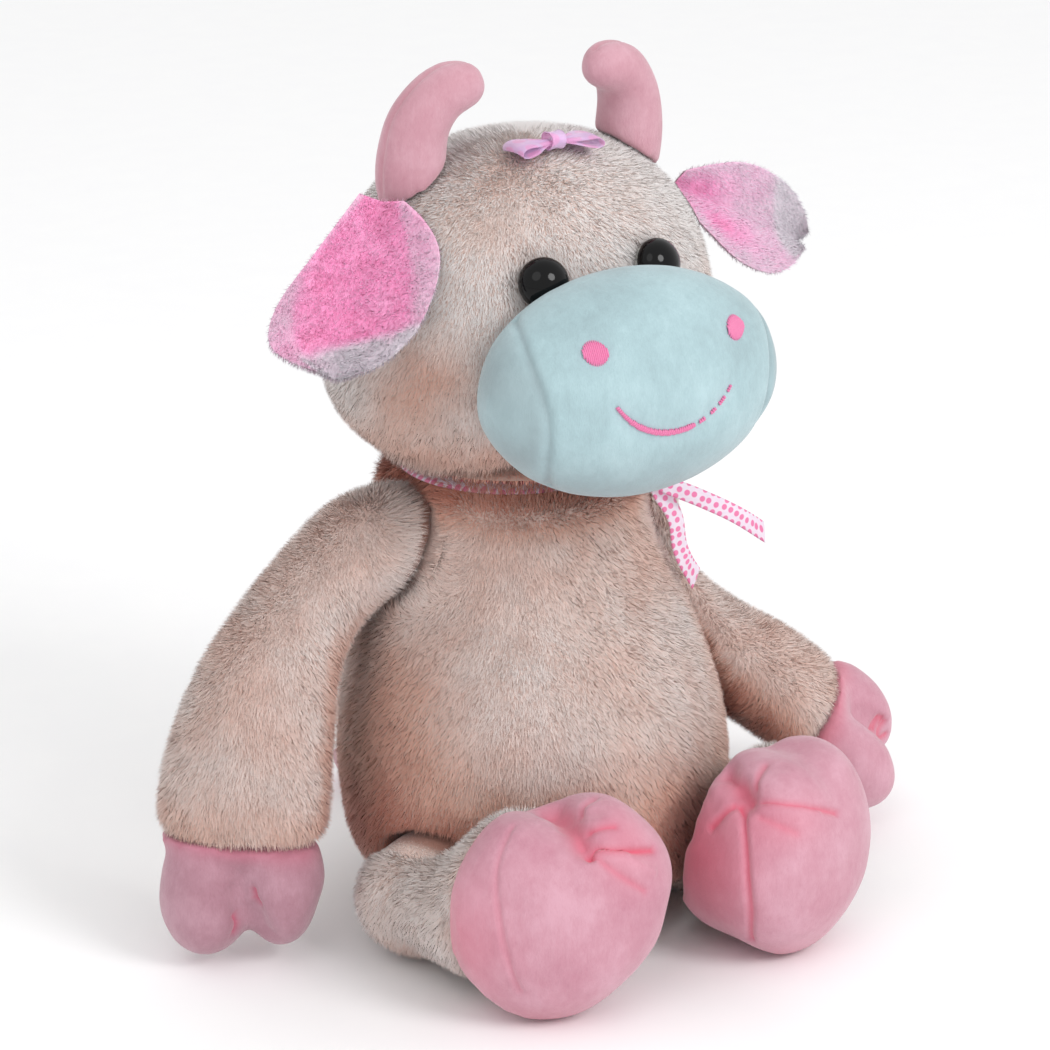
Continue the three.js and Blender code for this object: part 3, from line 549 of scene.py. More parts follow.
def crease(piece: bpy.types.Object, line: Array, depth: float, width: float,
           shade: float = 0.0) -> None:
    """Draws the skin in along a line: each point sinks by depth * exp(-(d/width)^2).

    The line is first laid on the skin, by the nearest place to each of its own places.

    Args:
        piece: The skin.
        line: Places along the crease, near the surface.
        depth: How far the crease sinks; a negative depth raises a ridge.
        width: The distance at which the crease fades to a third.
        shade: How far the crease turns to the cloth's deep colour, from 0 to 1, as painted shade in the
            crease.
    """
    tree = corner_tree(piece)
    places = Spline(line).at(np.linspace(0, 1, 25))
    away = distance_to_line(coordinates(piece), np.array([tree.find_nearest(Vector(p))[0] for p in places]))
    push_out(piece, -depth * np.exp(-((away / width) ** 2)))
    # Painted shade: the crease's hollow turns towards the cloth's deep colour.
    if shade:
        add_shade(piece, shade * np.exp(-((away / (0.8 * width)) ** 2)))


def add_shade(piece: bpy.types.Object, amount: Array) -> None:
    """Adds to the piece's shade attribute, one value for each vertex, up to 1: painted shade in creases,
    joints and hollows, and on the ear lining its own pale border.
    """
    layer = piece.data.attributes.get("shade") or piece.data.attributes.new("shade", "FLOAT", "POINT")
    held = np.zeros(len(piece.data.vertices), np.float32)
    layer.data.foreach_get("value", held)
    layer.data.foreach_set("value", np.clip(held + amount, 0, 1).astype(np.float32))


def corner_tree(piece: bpy.types.Object) -> BVHTree:
    """A search tree of a piece's faces, for the places of stitches on it."""
    return BVHTree.FromPolygons(coordinates(piece).tolist(), triangles_of(piece).tolist())


class Nodes:
    """A material's node tree with short calls for its nodes."""

    def __init__(self, name: str) -> None:
        """Makes an empty material with a Principled shader."""
        self.material = bpy.data.materials.new(name)
        self.material.use_nodes = True
        self.tree = self.material.node_tree
        self.shader = self.tree.nodes["Principled BSDF"]

    def add(self, kind: str, settings: Optional[dict] = None, **inputs: object) -> bpy.types.Node:
        """A node of a kind, with its settings and its inputs, each a value or a socket.

        Args:
            kind: The node's type without its prefix.
            settings: Attributes of the node.
            inputs: Values or sockets by input name, with _ for a space, or by n and the input's number.

        Returns:
            The node.
        """
        node = self.tree.nodes.new("ShaderNode" + kind)
        for key, value in (settings or {}).items():
            setattr(node, key, value)
        for key, value in inputs.items():
            numbered = key[0] == "n" and key[1:].isdigit()
            self.feed(node.inputs[int(key[1:]) if numbered else key.replace("_", " ")], value)
        return node

    def feed(self, socket: bpy.types.NodeSocket, value: object) -> None:
        """Links a socket into another, or sets its value."""
        if isinstance(value, bpy.types.NodeSocket):
            self.tree.links.new(value, socket)
        else:
            socket.default_value = value

    def ramp(self, factor: bpy.types.NodeSocket, stops: Sequence[tuple]) -> bpy.types.NodeSocket:
        """A colour ramp through stops of a place and an sRGB colour from 0 to 255."""
        node = self.add("ValToRGB", n0=factor)
        elements = node.color_ramp.elements
        for index, (place, colour) in enumerate(stops):
            element = elements[index] if index < 2 else elements.new(place)
            element.position = place
            element.color = linear(colour)
        return node.outputs[0]

    def mix(self, factor: object, a: object, b: object) -> bpy.types.NodeSocket:
        """Two colours mixed by a factor."""
        return self.add("Mix", {"data_type": "RGBA"}, n0=factor, n6=a, n7=b).outputs[2]

    def noise(self, where: bpy.types.NodeSocket, scale: float, detail: float = 3.0,
              roughness: float = 0.5) -> bpy.types.NodeSocket:
        """Noise over places, from 0 to 1."""
        node = self.add("TexNoise", Vector=where, Scale=scale, Detail=detail, Roughness=roughness)
        return node.outputs["Fac"]

    def bump(self, height: bpy.types.NodeSocket, distance: float, strength: float = 1.0,
             below: Optional[bpy.types.NodeSocket] = None) -> bpy.types.NodeSocket:
        """A bump of a height in metres, over another one if given."""
        node = self.add("Bump", Height=height, Distance=distance, Strength=strength)
        if below is not None:
            self.feed(node.inputs["Normal"], below)
        return node.outputs["Normal"]

    def surface(self, **inputs: object) -> bpy.types.Material:
        """Sets the shader's sockets and gives the material."""
        for key, value in inputs.items():
            self.feed(self.shader.inputs[key.replace("_", " ")], value)
        return self.material


def linear(colour: Sequence[float]) -> tuple:
    """An sRGB colour from 0 to 255 as linear red, green, blue and alpha."""
    c = np.array(colour, float) / 255
    value = np.where(c <= 0.04045, c / 12.92, ((c + 0.055) / 1.055) ** 2.4)
    return (*value.tolist(), 1.0)


@dataclass(frozen=True)
class PileFinish:
    """Plush pile: each blade is dark and warm at its root and pale at its tip.

    The piece's UV map gives the tone across and the way from root to tip upwards.
    """

    name: str
    roots: tuple
    tips: tuple
    sheen: float = 0.45

    def material(self) -> bpy.types.Material:
        """The finish as a material."""
        n = Nodes(self.name)
        place = n.add("UVMap", {"uv_map": "OFBake"}).outputs[0]
        split = n.add("SeparateXYZ", Vector=place)
        root, tip = n.ramp(split.outputs[0], self.roots), n.ramp(split.outputs[0], self.tips)
        rise = n.add("MapRange", {"interpolation_type": "SMOOTHSTEP"}, Value=split.outputs[1])
        colour = n.mix(rise.outputs[0], root, tip)
        return n.surface(Base_Color=colour, Roughness=0.85, Sheen_Weight=self.sheen,
                         Sheen_Roughness=0.5, Specular_IOR_Level=0.15)


@dataclass(frozen=True)
class VelourFinish:
    """Short smooth velour: soft clouds of shade, a fine nap, and a sheen at grazing angles.

    The piece's shade attribute turns it to its deep colour: painted shade in seams, folds, joints and
    hollows, and on the ear lining its own pale border.
    """

    name: str
    low: tuple
    mid: tuple
    high: tuple
    # The colour of the painted shade in seams, folds, joints and hollows; on the ear lining, its own pale
    # border.
    deep: tuple = (150, 100, 110)
    cloud: float = 0.02
    nap: float = 0.0005
    depth: float = 0.00022
    sheen: float = 0.35

    def material(self) -> bpy.types.Material:
        """The finish as a material."""
        n = Nodes(self.name)
        place = n.add("TexCoord").outputs["Object"]
        clouds = n.noise(place, 1 / self.cloud, 4, 0.6)
        strokes = n.add("Mapping", Vector=place, Scale=(1.0, 1.0, 0.35)).outputs[0]
        nap = n.noise(strokes, 1 / self.nap, 3, 0.7)
        patchy = n.noise(strokes, 0.22 / self.nap, 3, 0.6)
        shade = n.add("Math", {"operation": "MULTIPLY_ADD"}, n0=nap, n1=0.3, n2=clouds)
        shade = n.add("Math", {"operation": "MULTIPLY_ADD"}, n0=patchy, n1=0.3, n2=shade.outputs[0])
        colour = n.ramp(shade.outputs[0], [(0.5, self.low), (0.8, self.mid), (1.0, self.high)])
        # Painted shade from the shade attribute, and the ear lining's pale border, mix in the deep colour.
        painted_shade_and_ear_border = n.add("Attribute", {"attribute_name": "shade"}).outputs["Fac"]
        colour = n.mix(painted_shade_and_ear_border, colour, linear(self.deep))
        normal = n.bump(patchy, self.depth * 1.6, 0.6)
        normal = n.bump(nap, self.depth, 0.8, normal)
        return n.surface(Base_Color=colour, Roughness=0.8, Sheen_Weight=self.sheen,
                         Sheen_Roughness=0.45, Specular_IOR_Level=0.2, Normal=normal)


@dataclass(frozen=True)
class RibbonFinish:
    """Woven ribbon: fine crosswise ribs, small dots of a second colour and a satin gleam."""

    name: str
    ground: tuple
    shade: tuple
    dots: Optional[tuple] = None
    spacing: float = 0.0032
    clear: float = 0.0
    rib: float = 0.0004

    def material(self) -> bpy.types.Material:
        """The finish as a material."""
        n = Nodes(self.name)
        uv = n.add("UVMap", {"uv_map": "weave"}).outputs[0]
        split = n.add("SeparateXYZ", Vector=uv)
        clouds = n.noise(uv, 260, 3)
        colour = n.mix(clouds, linear(self.shade), linear(self.ground))
        if self.dots:
            cells = n.add("TexVoronoi", {"voronoi_dimensions": "2D"}, Vector=uv,
                          Scale=1 / self.spacing, Randomness=0.25)
            spot = n.add("MapRange", Value=cells.outputs["Distance"], n1=0.3, n2=0.38, n3=1.0, n4=0.0)
            colour = n.mix(spot.outputs[0], colour, linear(self.dots))
        ribs = n.add("Math", {"operation": "MULTIPLY"}, n0=split.outputs[1], n1=2 * math.pi / self.rib)
        ribs = n.add("Math", {"operation": "SINE"}, n0=ribs.outputs[0])
        normal = n.bump(ribs.outputs[0], 0.00004, 0.5)
        return n.surface(Base_Color=colour, Roughness=0.42, Sheen_Weight=0.3, Alpha=1 - self.clear,
                         Normal=normal)


@dataclass(frozen=True)
class GlossFinish:
    """Polished moulded plastic, with a faint unevenness in its gloss."""

    name: str
    colour: tuple
    rim: tuple
    roughness: float = 0.08

    def material(self) -> bpy.types.Material:
        """The finish as a material."""
        n = Nodes(self.name)
        place = n.add("TexCoord").outputs["Object"]
        cloud = n.noise(place, 900, 2)
        colour = n.mix(cloud, linear(self.colour), linear(self.rim))
        rough = n.add("MapRange", Value=cloud, n3=self.roughness * 0.7, n4=self.roughness * 1.4)
        normal = n.bump(n.noise(place, 500, 2), 0.00001, 0.3)
        return n.surface(Base_Color=colour, Roughness=rough.outputs[0], Specular_IOR_Level=0.22,
                         Normal=normal)


@dataclass(frozen=True)
class ThreadFinish:
    """Satin-stitched thread: a silky gleam and a fine twist along each stitch."""

    name: str
    low: tuple
    high: tuple

    def material(self) -> bpy.types.Material:
        """The finish as a material."""
        n = Nodes(self.name)
        place = n.add("TexCoord").outputs["Object"]
        strands = n.noise(place, 2600, 3, 0.7)
        colour = n.mix(strands, linear(self.low), linear(self.high))
        return n.surface(Base_Color=colour, Roughness=0.45, Sheen_Weight=0.3,
                         Normal=n.bump(strands, 0.00008, 0.7))


class Finishes:
    """All the finishes of the cow, each made once."""

    def __init__(self) -> None:
        """Makes the materials."""
        # The low tones of this ramp carry painted shade in creases, under the head and low down, besides the
        # fur's random darker tufts.
        self.fur = PileFinish(
            "grey_beige_plush",
            roots=((0.0, (190, 104, 84)), (0.35, (238, 184, 164)), (0.7, (250, 228, 220)),
                   (1.0, (254, 245, 242))),
            tips=((0.0, (214, 140, 120)), (0.35, (244, 202, 184)), (0.7, (251, 237, 231)),
                  (1.0, (254, 251, 250))),
        ).material()
        # Its deep colour is painted shade on the bare skin in sockets, joints and under the head.
        self.fur_ground = VelourFinish("plush_backing", (214, 180, 168), (228, 202, 192),
                                       (236, 214, 205), deep=(138, 88, 72)).material()
        # Its deep colour is painted shade in the hooves' seams, folds, cleft and joins.
        self.velour = VelourFinish("pink_velour", (186, 126, 143), (198, 145, 160),
                                   (207, 158, 173), deep=(218, 98, 121)).material()
        # A darker copy of the pink velour: painted shade for the right hand, on the side away from the light.
        self.shaded_velour_copy = VelourFinish("shaded_pink_velour", (158, 112, 125), (174, 130, 143),
                                        (186, 144, 157), deep=(198, 92, 118)).material()
        # Its deep colour is painted shade in the horns' seam crease.
        self.horn_velour = VelourFinish("horn_velour", (184, 130, 143), (197, 148, 160),
                                       (206, 161, 173), deep=(184, 98, 113)).material()
        # Its deep colour is painted shade in the seams, on the side panels and underneath.
        self.muzzle = VelourFinish("pale_blue_velour", (147, 168, 173), (163, 188, 193),
                                   (175, 200, 205), deep=(134, 144, 148), cloud=0.03).material()
        self.ear_pink = PileFinish(
            "ear_lining_plush",
            roots=((0.0, (236, 86, 148)), (0.35, (254, 164, 214)), (0.75, (238, 196, 224)),
                   (1.0, (206, 200, 208))),
            tips=((0.0, (248, 130, 184)), (0.35, (255, 190, 228)), (0.75, (242, 212, 232)),
                  (1.0, (226, 221, 228))),
        ).material()
        self.ear_ground = VelourFinish("ear_backing", (240, 132, 186), (246, 156, 202),
                                       (248, 176, 214), deep=(220, 206, 216)).material()
        self.ear_pale = VelourFinish("ear_back_cloth", (206, 188, 194), (226, 212, 218),
                                     (238, 228, 232)).material()
        self.eye = GlossFinish("eye_plastic", (3, 3, 4), (6, 6, 7)).material()
        self.washer = GlossFinish("washer_plastic", (232, 231, 226), (222, 221, 214), 0.5).material()
        self.thread = ThreadFinish("pink_satin_thread", (206, 96, 148), (232, 130, 174)).material()
        self.ribbon = RibbonFinish("dotted_ribbon", (240, 228, 238), (226, 208, 226),
                                   (232, 120, 168)).material()
        self.organza = RibbonFinish("lilac_organza", (240, 206, 242), (222, 184, 232),
                                    (244, 178, 226), 0.008, 0.42).material()


def dress(piece: bpy.types.Object, material: bpy.types.Material, slot: str, body: str,
          *nodes: str) -> bpy.types.Object:
    """Gives a piece its material and its body, and stands it for CAD nodes.

    Args:
        piece: The finished piece.
        material: Its material.
        slot: The record's material slot; not used.
        body: The CAD body that it rides on.
        nodes: The CAD nodes that it replaces.

    Returns:
        The piece.
    """
    piece.data.materials.clear()
    piece.data.materials.append(material)
    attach(piece, body)
    if nodes:
        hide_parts(*nodes)
    log.info("%s: %d faces on %s", piece.name, len(piece.data.polygons), body)
    return piece


def strip_uv(piece: bpy.types.Object, rows: int, columns: int, width: float, length: float) -> None:
    """Lays a ribbon's weave map: across its width and along its length, in metres."""
    index = corners_of(piece) % (rows * columns)
    uv = np.stack([(index % columns) / (columns - 1) * width, (index // columns) / (rows - 1) * length], -1)
    lay_map(piece, "weave", uv)


Measure = Callable[[Array, Array], Array]


@dataclass(frozen=True)
class Pile:
    """A pile of blades on a skin, each one slim triangle that leans with the nap.

    A blade leaves the skin along normal + lean * nap + unruly * noise, where the noise is partly
    shared by its neighbours, so that the blades stand in small tufts. Its foot is rooted a little
    under the skin, no tip goes under the floor, and no blade is more than longest lengths long.
    """

    length: float = 0.0044
    width: float = 0.00034
    per_square_metre: float = 3.2e6
    lean: float = 0.95
    unruly: float = 0.42
    most: int = 196000
    seed: int = 7
    longest: float = 2.3
    rooted: float = 0.0004
    floor: float = 0.0001
    quick_share: float = 0.35

    def coat(self, name: str, skin: bpy.types.Object, material: bpy.types.Material, slot: str,
             body: str, tone: Measure, cover: Optional[Measure] = None,
             nap: Optional[Measure] = None) -> None:
        """Plants an undercoat and a topcoat and dresses them.

        The undercoat is shorter and more ruffled, so that no skin shows between the long blades.

        Args:
            name: The start of both pieces' names.
            skin: The skin, as it is at the end.
            material: The pile's material.
            slot: Its slot in the record.
            body: The CAD body that it rides on.
            tone: As for grow.
            cover: As for grow.
            nap: As for grow.
        """
        under = replace(self, length=self.length * 0.68, width=self.width * 1.15,
                        unruly=self.unruly * 1.5, seed=self.seed + 500)
        for word, layer in (("undercoat", under), ("topcoat", self)):
            dress(layer.grow(f"{name}_{word}", skin, tone, cover, nap), material, slot, body)

    def grow(self, name: str, skin: bpy.types.Object, tone: Measure,
             cover: Optional[Measure] = None, nap: Optional[Measure] = None) -> bpy.types.Object:
        """Plants the pile on a skin.

        Args:
            name: The new piece's name.
            skin: The skin, as it is at the end.
            tone: Gives each place its tone, from 0, dark, to 1, pale.
            cover: Gives each place the share of the full length, 0 for no blade.
            nap: Gives each place the direction that the pile is brushed in; down if left out.

        Returns:
            The pile as a piece.
        """
        rng = np.random.default_rng(self.seed)
        corners = triangles_of(skin)
        points, normals = coordinates(skin), normals_of(skin)
        a, b, c = (points[corners[:, k]] for k in range(3))
        area = np.linalg.norm(np.cross(b - a, c - a), axis=1) / 2
        middle = (a + b + c) / 3
        facing = unit(np.cross(b - a, c - a))
        if cover is not None:
            area = area * (cover(middle, facing) > 0.02)
        share = 1.0
        count = int(min(area.sum() * self.per_square_metre, self.most) * share)
        run = np.cumsum(area)
        chosen = np.searchsorted(run, (np.arange(count) + rng.random(count)) / count * run[-1])
        chosen = np.minimum(chosen, len(area) - 1)
        u, v = rng.random(count), rng.random(count)
        over = u + v > 1
        u[over], v[over] = 1 - u[over], 1 - v[over]
        weight = np.stack([1 - u - v, u, v], -1)[..., None]
        root = (points[corners[chosen]] * weight).sum(1)
        normal = unit((normals[corners[chosen]] * weight).sum(1))
        reach = np.ones(count) if cover is None else np.clip(cover(root, normal), 0, self.longest)
        keep = reach > 0.05
        root, normal, reach = root[keep], normal[keep], reach[keep]
        brushed = np.tile(-UP, (len(root), 1)) if nap is None else nap(root, normal)
        brushed = brushed - normal * (brushed * normal).sum(-1, keepdims=True)
        size = self.length
        tuft = np.stack([cloudy(root, size * 1.3, self.seed + k) for k in range(3)], -1)
        stray = rng.normal(0, 1, root.shape)
        way = unit(normal + self.lean * brushed + self.unruly * (0.8 * tuft + 0.45 * stray))
        outward = np.maximum((way * normal).sum(-1), 0.25)
        stand = size * reach * rng.uniform(0.8, 1.06, len(root)) * np.minimum(1, 0.8 / outward)
        half = unit(np.cross(way, rng.normal(0, 1, root.shape))) * (
            self.width / 2 * rng.uniform(0.7, 1.25, len(root)))[:, None]
        root = root - normal * self.rooted
        tip = root + way * stand[:, None]
        blades = np.stack([root - half, root + half, tip], 1)
        turned = (np.cross(blades[:, 1] - blades[:, 0], blades[:, 2] - blades[:, 0]) * normal).sum(-1) < 0
        blades[turned] = blades[turned][:, [1, 0, 2]]
        blades[:, :, 2] = np.maximum(blades[:, :, 2], self.floor)
        shade = np.clip(tone(root, normal) + rng.normal(0, 0.045, len(root)), 0.01, 0.99)
        triangles = np.arange(len(blades) * 3).reshape(-1, 3)
        piece = Shell(blades.reshape(-1, 3), np.zeros((0, 4), int), triangles).piece(name)
        uv = np.zeros((len(blades), 3, 2))
        uv[:, :, 0] = shade[:, None]
        uv[:, :2, 1] = 0.02
        uv[:, 2, 1] = 0.98
        lay_map(piece, "OFBake", uv)
        lean_in = unit(normal + 0.05 * way)
        piece.data.normals_split_custom_set_from_vertices(np.repeat(lean_in, 3, axis=0))
        return piece


@dataclass(frozen=True)
class Anatomy:
    """Where the cow's moving parts are carried, in the row frame."""

    shoulder: tuple = (0.044, 0.018, 0.143)
    shoulder_tilt: float = math.radians(20)
    armhole: float = 0.023
    flank_rise: float = 0.011
    hip: tuple = (0.05, -0.024, 0.024)
    hip_half_width: float = 0.041
    hip_radius: float = 0.024
    neck: tuple = (0.0, 0.017, 0.142)
    neck_cap: float = 0.0525
    neck_edge: float = 0.171
    head: tuple = (0.0, 0.013, 0.228)
    tail: tuple = (0.0, 0.069, 0.048)

    def shoulder_of(self, side: Side) -> tuple:
        """The middle of an armhole and the axis that the arm swings about."""
        axis = side.place(math.cos(self.shoulder_tilt), 0, math.sin(self.shoulder_tilt))
        return side.place(*self.shoulder), axis

    def hip_size(self) -> Array:
        """The half sizes of a leg's round root."""
        return np.array([self.hip_half_width, self.hip_radius, self.hip_radius])

    def hip_ball(self, side: Side, grow: float) -> Shell:
        """The round root of a leg, grown by a margin."""
        form = round_form(side.place(*self.hip), 2 * self.hip_half_width, 2 * self.hip_radius,
                          2 * self.hip_radius, OUTWARD, facing=UP)
        return form.shell(grow, 24, 40)

    def arm_room(self, side: Side, margin: float) -> Shell:
        """The plug of an arm's root with a wide plate past the flank: all that an arm can use.

        It is one profile turned about the swing axis, drawn in by the margin.
        """
        place, axis = self.shoulder_of(side)
        narrow, flank = self.armhole - margin, self.flank_rise + CLEARANCE + margin
        profile = np.array([[0, CLEARANCE + margin], [narrow, CLEARANCE + margin], [narrow, flank],
                            [0.4, flank], [0.4, 0.4], [0, 0.4]])
        return turned_profile(profile, place, axis, 64)


@dataclass
class Torso:
    """The pear-shaped torso that leans back, with sockets for the limbs and the neck."""

    anatomy: Anatomy
    finishes: Finishes
    height: float = 0.182
    width: float = 0.152
    depth: float = 0.138
    lean: float = 0.019
    seat_cut: float = 0.0005
    seat_end: float = 0.24
    neck_end: float = 0.22
    flatness: float = 2.6
    seat_flatness: float = 3.4
    spine_shares: tuple = ((0, 0), (0.25, 0.06), (0.45, 0.5), (0.62, 0.86), (0.8, 1), (1, 0.92))
    shares: tuple = (
        (0, 0.88, 0.9), (0.12, 0.96, 0.98), (0.25, 1, 1), (0.4, 0.985, 0.98), (0.55, 0.9, 0.9),
        (0.68, 0.81, 0.81), (0.8, 0.74, 0.73), (0.9, 0.73, 0.72), (1, 0.66, 0.68),
    )

    def form(self) -> StuffedForm:
        """The torso as a stuffed form."""
        rise = self.height + self.seat_cut
        places = [[0, lean * self.lean, share * rise - self.seat_cut] for share, lean in self.spine_shares]
        return StuffedForm(Spline(np.array(places)), self.width, self.depth, self.shares,
                           self.seat_end, self.neck_end, self.flatness, self.seat_flatness)

    def under_surface(self, points: Array) -> Array:
        """How deep a place lies inside the torso: one less its share of the ring, times the half depth."""
        rise = np.clip((points[:, 2] + self.seat_cut) / (self.height + self.seat_cut), 0.001, 0.999)
        lean = np.interp(rise, *np.array(self.spine_shares).T) * self.lean
        girth = read_shares(self.shares, rise)
        left = dome(rise / self.seat_end, self.seat_flatness)
        left = left * dome((1 - rise) / self.neck_end, self.flatness)
        wide, deep = girth[:, 0] * self.width / 2 * left, girth[:, 1] * self.depth / 2 * left
        return (1 - np.hypot(points[:, 0] / wide, (points[:, 1] - lean) / deep)) * deep

    def beneath(self, points: Array) -> Array:
        """How deep a place lies inside the torso, counted from a higher surface near the neck."""
        return self.under_surface(points) - 0.007 * soft_step(points[:, 2], 0.15, 0.16)

    def build(self) -> None:
        """Makes the torso's skin and its pile."""
        skin = self.form().shell(-PILE_ROOM, 90, 96).piece("torso_skin")
        for side in Side:
            place, axis = self.anatomy.shoulder_of(side)
            hole = peg(place - axis * SOCKET_ROOM, axis, self.anatomy.armhole + CLEARANCE + SOCKET_ROOM, 0.3)
            shape_with(skin, hole, Operation.CUT)
            shape_with(skin, self.anatomy.hip_ball(side, CLEARANCE + SOCKET_ROOM), Operation.CUT)
        top = np.array([0, 0, self.anatomy.neck_edge - 0.0012])
        shape_with(skin, half_space(top, UP), Operation.CUT)
        fill_out(skin, 0.0038, 0.0016, 1, 3)
        points = coordinates(skin)
        points[:, 2] = np.clip(points[:, 2], 0.0006, self.anatomy.neck_edge - 0.0006)
        move_to(skin, points)
        for side in Side:
            place, axis = self.anatomy.shoulder_of(side)
            fit_round(skin, place, axis, self.anatomy.armhole + CLEARANCE, (0, 0.05), True)
            points = coordinates(skin)
            hip = side.place(*self.anatomy.hip)
            size = self.anatomy.hip_size() + CLEARANCE
            away = np.linalg.norm((points - hip) / size, axis=1, keepdims=True)
            move_to(skin, np.where(away < 1, hip + (points - hip) / np.maximum(away, 1e-6), points))
        # Painted shade on the bare skin deep in the sockets and at the neck's cut.
        add_shade(skin, 0.85 * soft_step(self.beneath(coordinates(skin)), 0.004, 0.0062))
        self.plant(skin)
        dress(skin, self.finishes.fur_ground, "fur", "torso", "torso_cover", "torso_filling", "pellet_bag")

    def plant(self, skin: bpy.types.Object) -> None:
        """Grows the torso's pile, with none in the sockets and under the neck."""
        limits = self.anatomy

        def cover(points: Array, normals: Array) -> Array:
            """Shorter in the sockets' mouths and on the hips, longer by the neck, none deeper in."""
            under = self.beneath(points)
            room = 1 - 0.45 * soft_step(under, 0.0045, 0.0065)
            room = np.where(under > 0.0105, 0, room) * (1 + 0.8 * soft_step(points[:, 2], 0.157, 0.163))
            for side in Side:
                beside = (((points - side.place(*limits.hip)) / (limits.hip_size() + 0.004)) ** 2).sum(-1)
                room = room * np.where(beside < 1, 0.6, 1)
            room = np.where((points[:, 2] > limits.neck_edge - 0.002) & (normals[:, 2] > 0.85), 0, room)
            return room * np.where(normals[:, 2] < -0.85, 0.5, 1)

        def nap(points: Array, normals: Array) -> Array:
            """Down the torso, up by the neck, and in over the roots of the arms."""
            raised = soft_step(points[:, 2], 0.15, 0.162)[:, None]
            way = raised * (UP * 0.8 + normals * 0.3) - (1 - raised) * UP
            for side in Side:
                place, axis = limits.shoulder_of(side)
                arm = place - points
                inwards = arm - (arm @ axis)[:, None] * axis
                away = np.linalg.norm(inwards, axis=1, keepdims=True)
                near = (1 - soft_step(away, 0.027, 0.035)) * (points[:, :1] * side.value > 0)
                way = way * (1 - near) + inwards / np.maximum(away, 1e-6) * near * 1.4
            return way

        def tone(points: Array, normals: Array) -> Array:
            """Cloudy, with painted shade in steps towards the seat, under the head by the neck and in both
            flanks beside the arms.
            """
            value = 0.68 + 0.08 * cloudy(points, 0.009, 1) + 0.1 * cloudy(points, 0.026, 2)
            # Painted shade: low towards the seat and legs, under the head by the neck, and in the flanks
            # beside the arms.
            value = value - 0.58 * (1 - soft_step(points[:, 2], 0.03, 0.088))
            value = value - 0.15 * soft_step(points[:, 2], 0.11, 0.15)
            value = value - 0.56 * soft_step(points[:, 2], 0.146, 0.164)
            for side in Side:
                value = value - 0.36 * bump_at(points, side.place(0.068, -0.008, 0.1), (0.016, 0.028, 0.055))
            return value

        Pile(seed=11).coat("torso", skin, self.finishes.fur, "fur", "torso", tone, cover, nap)


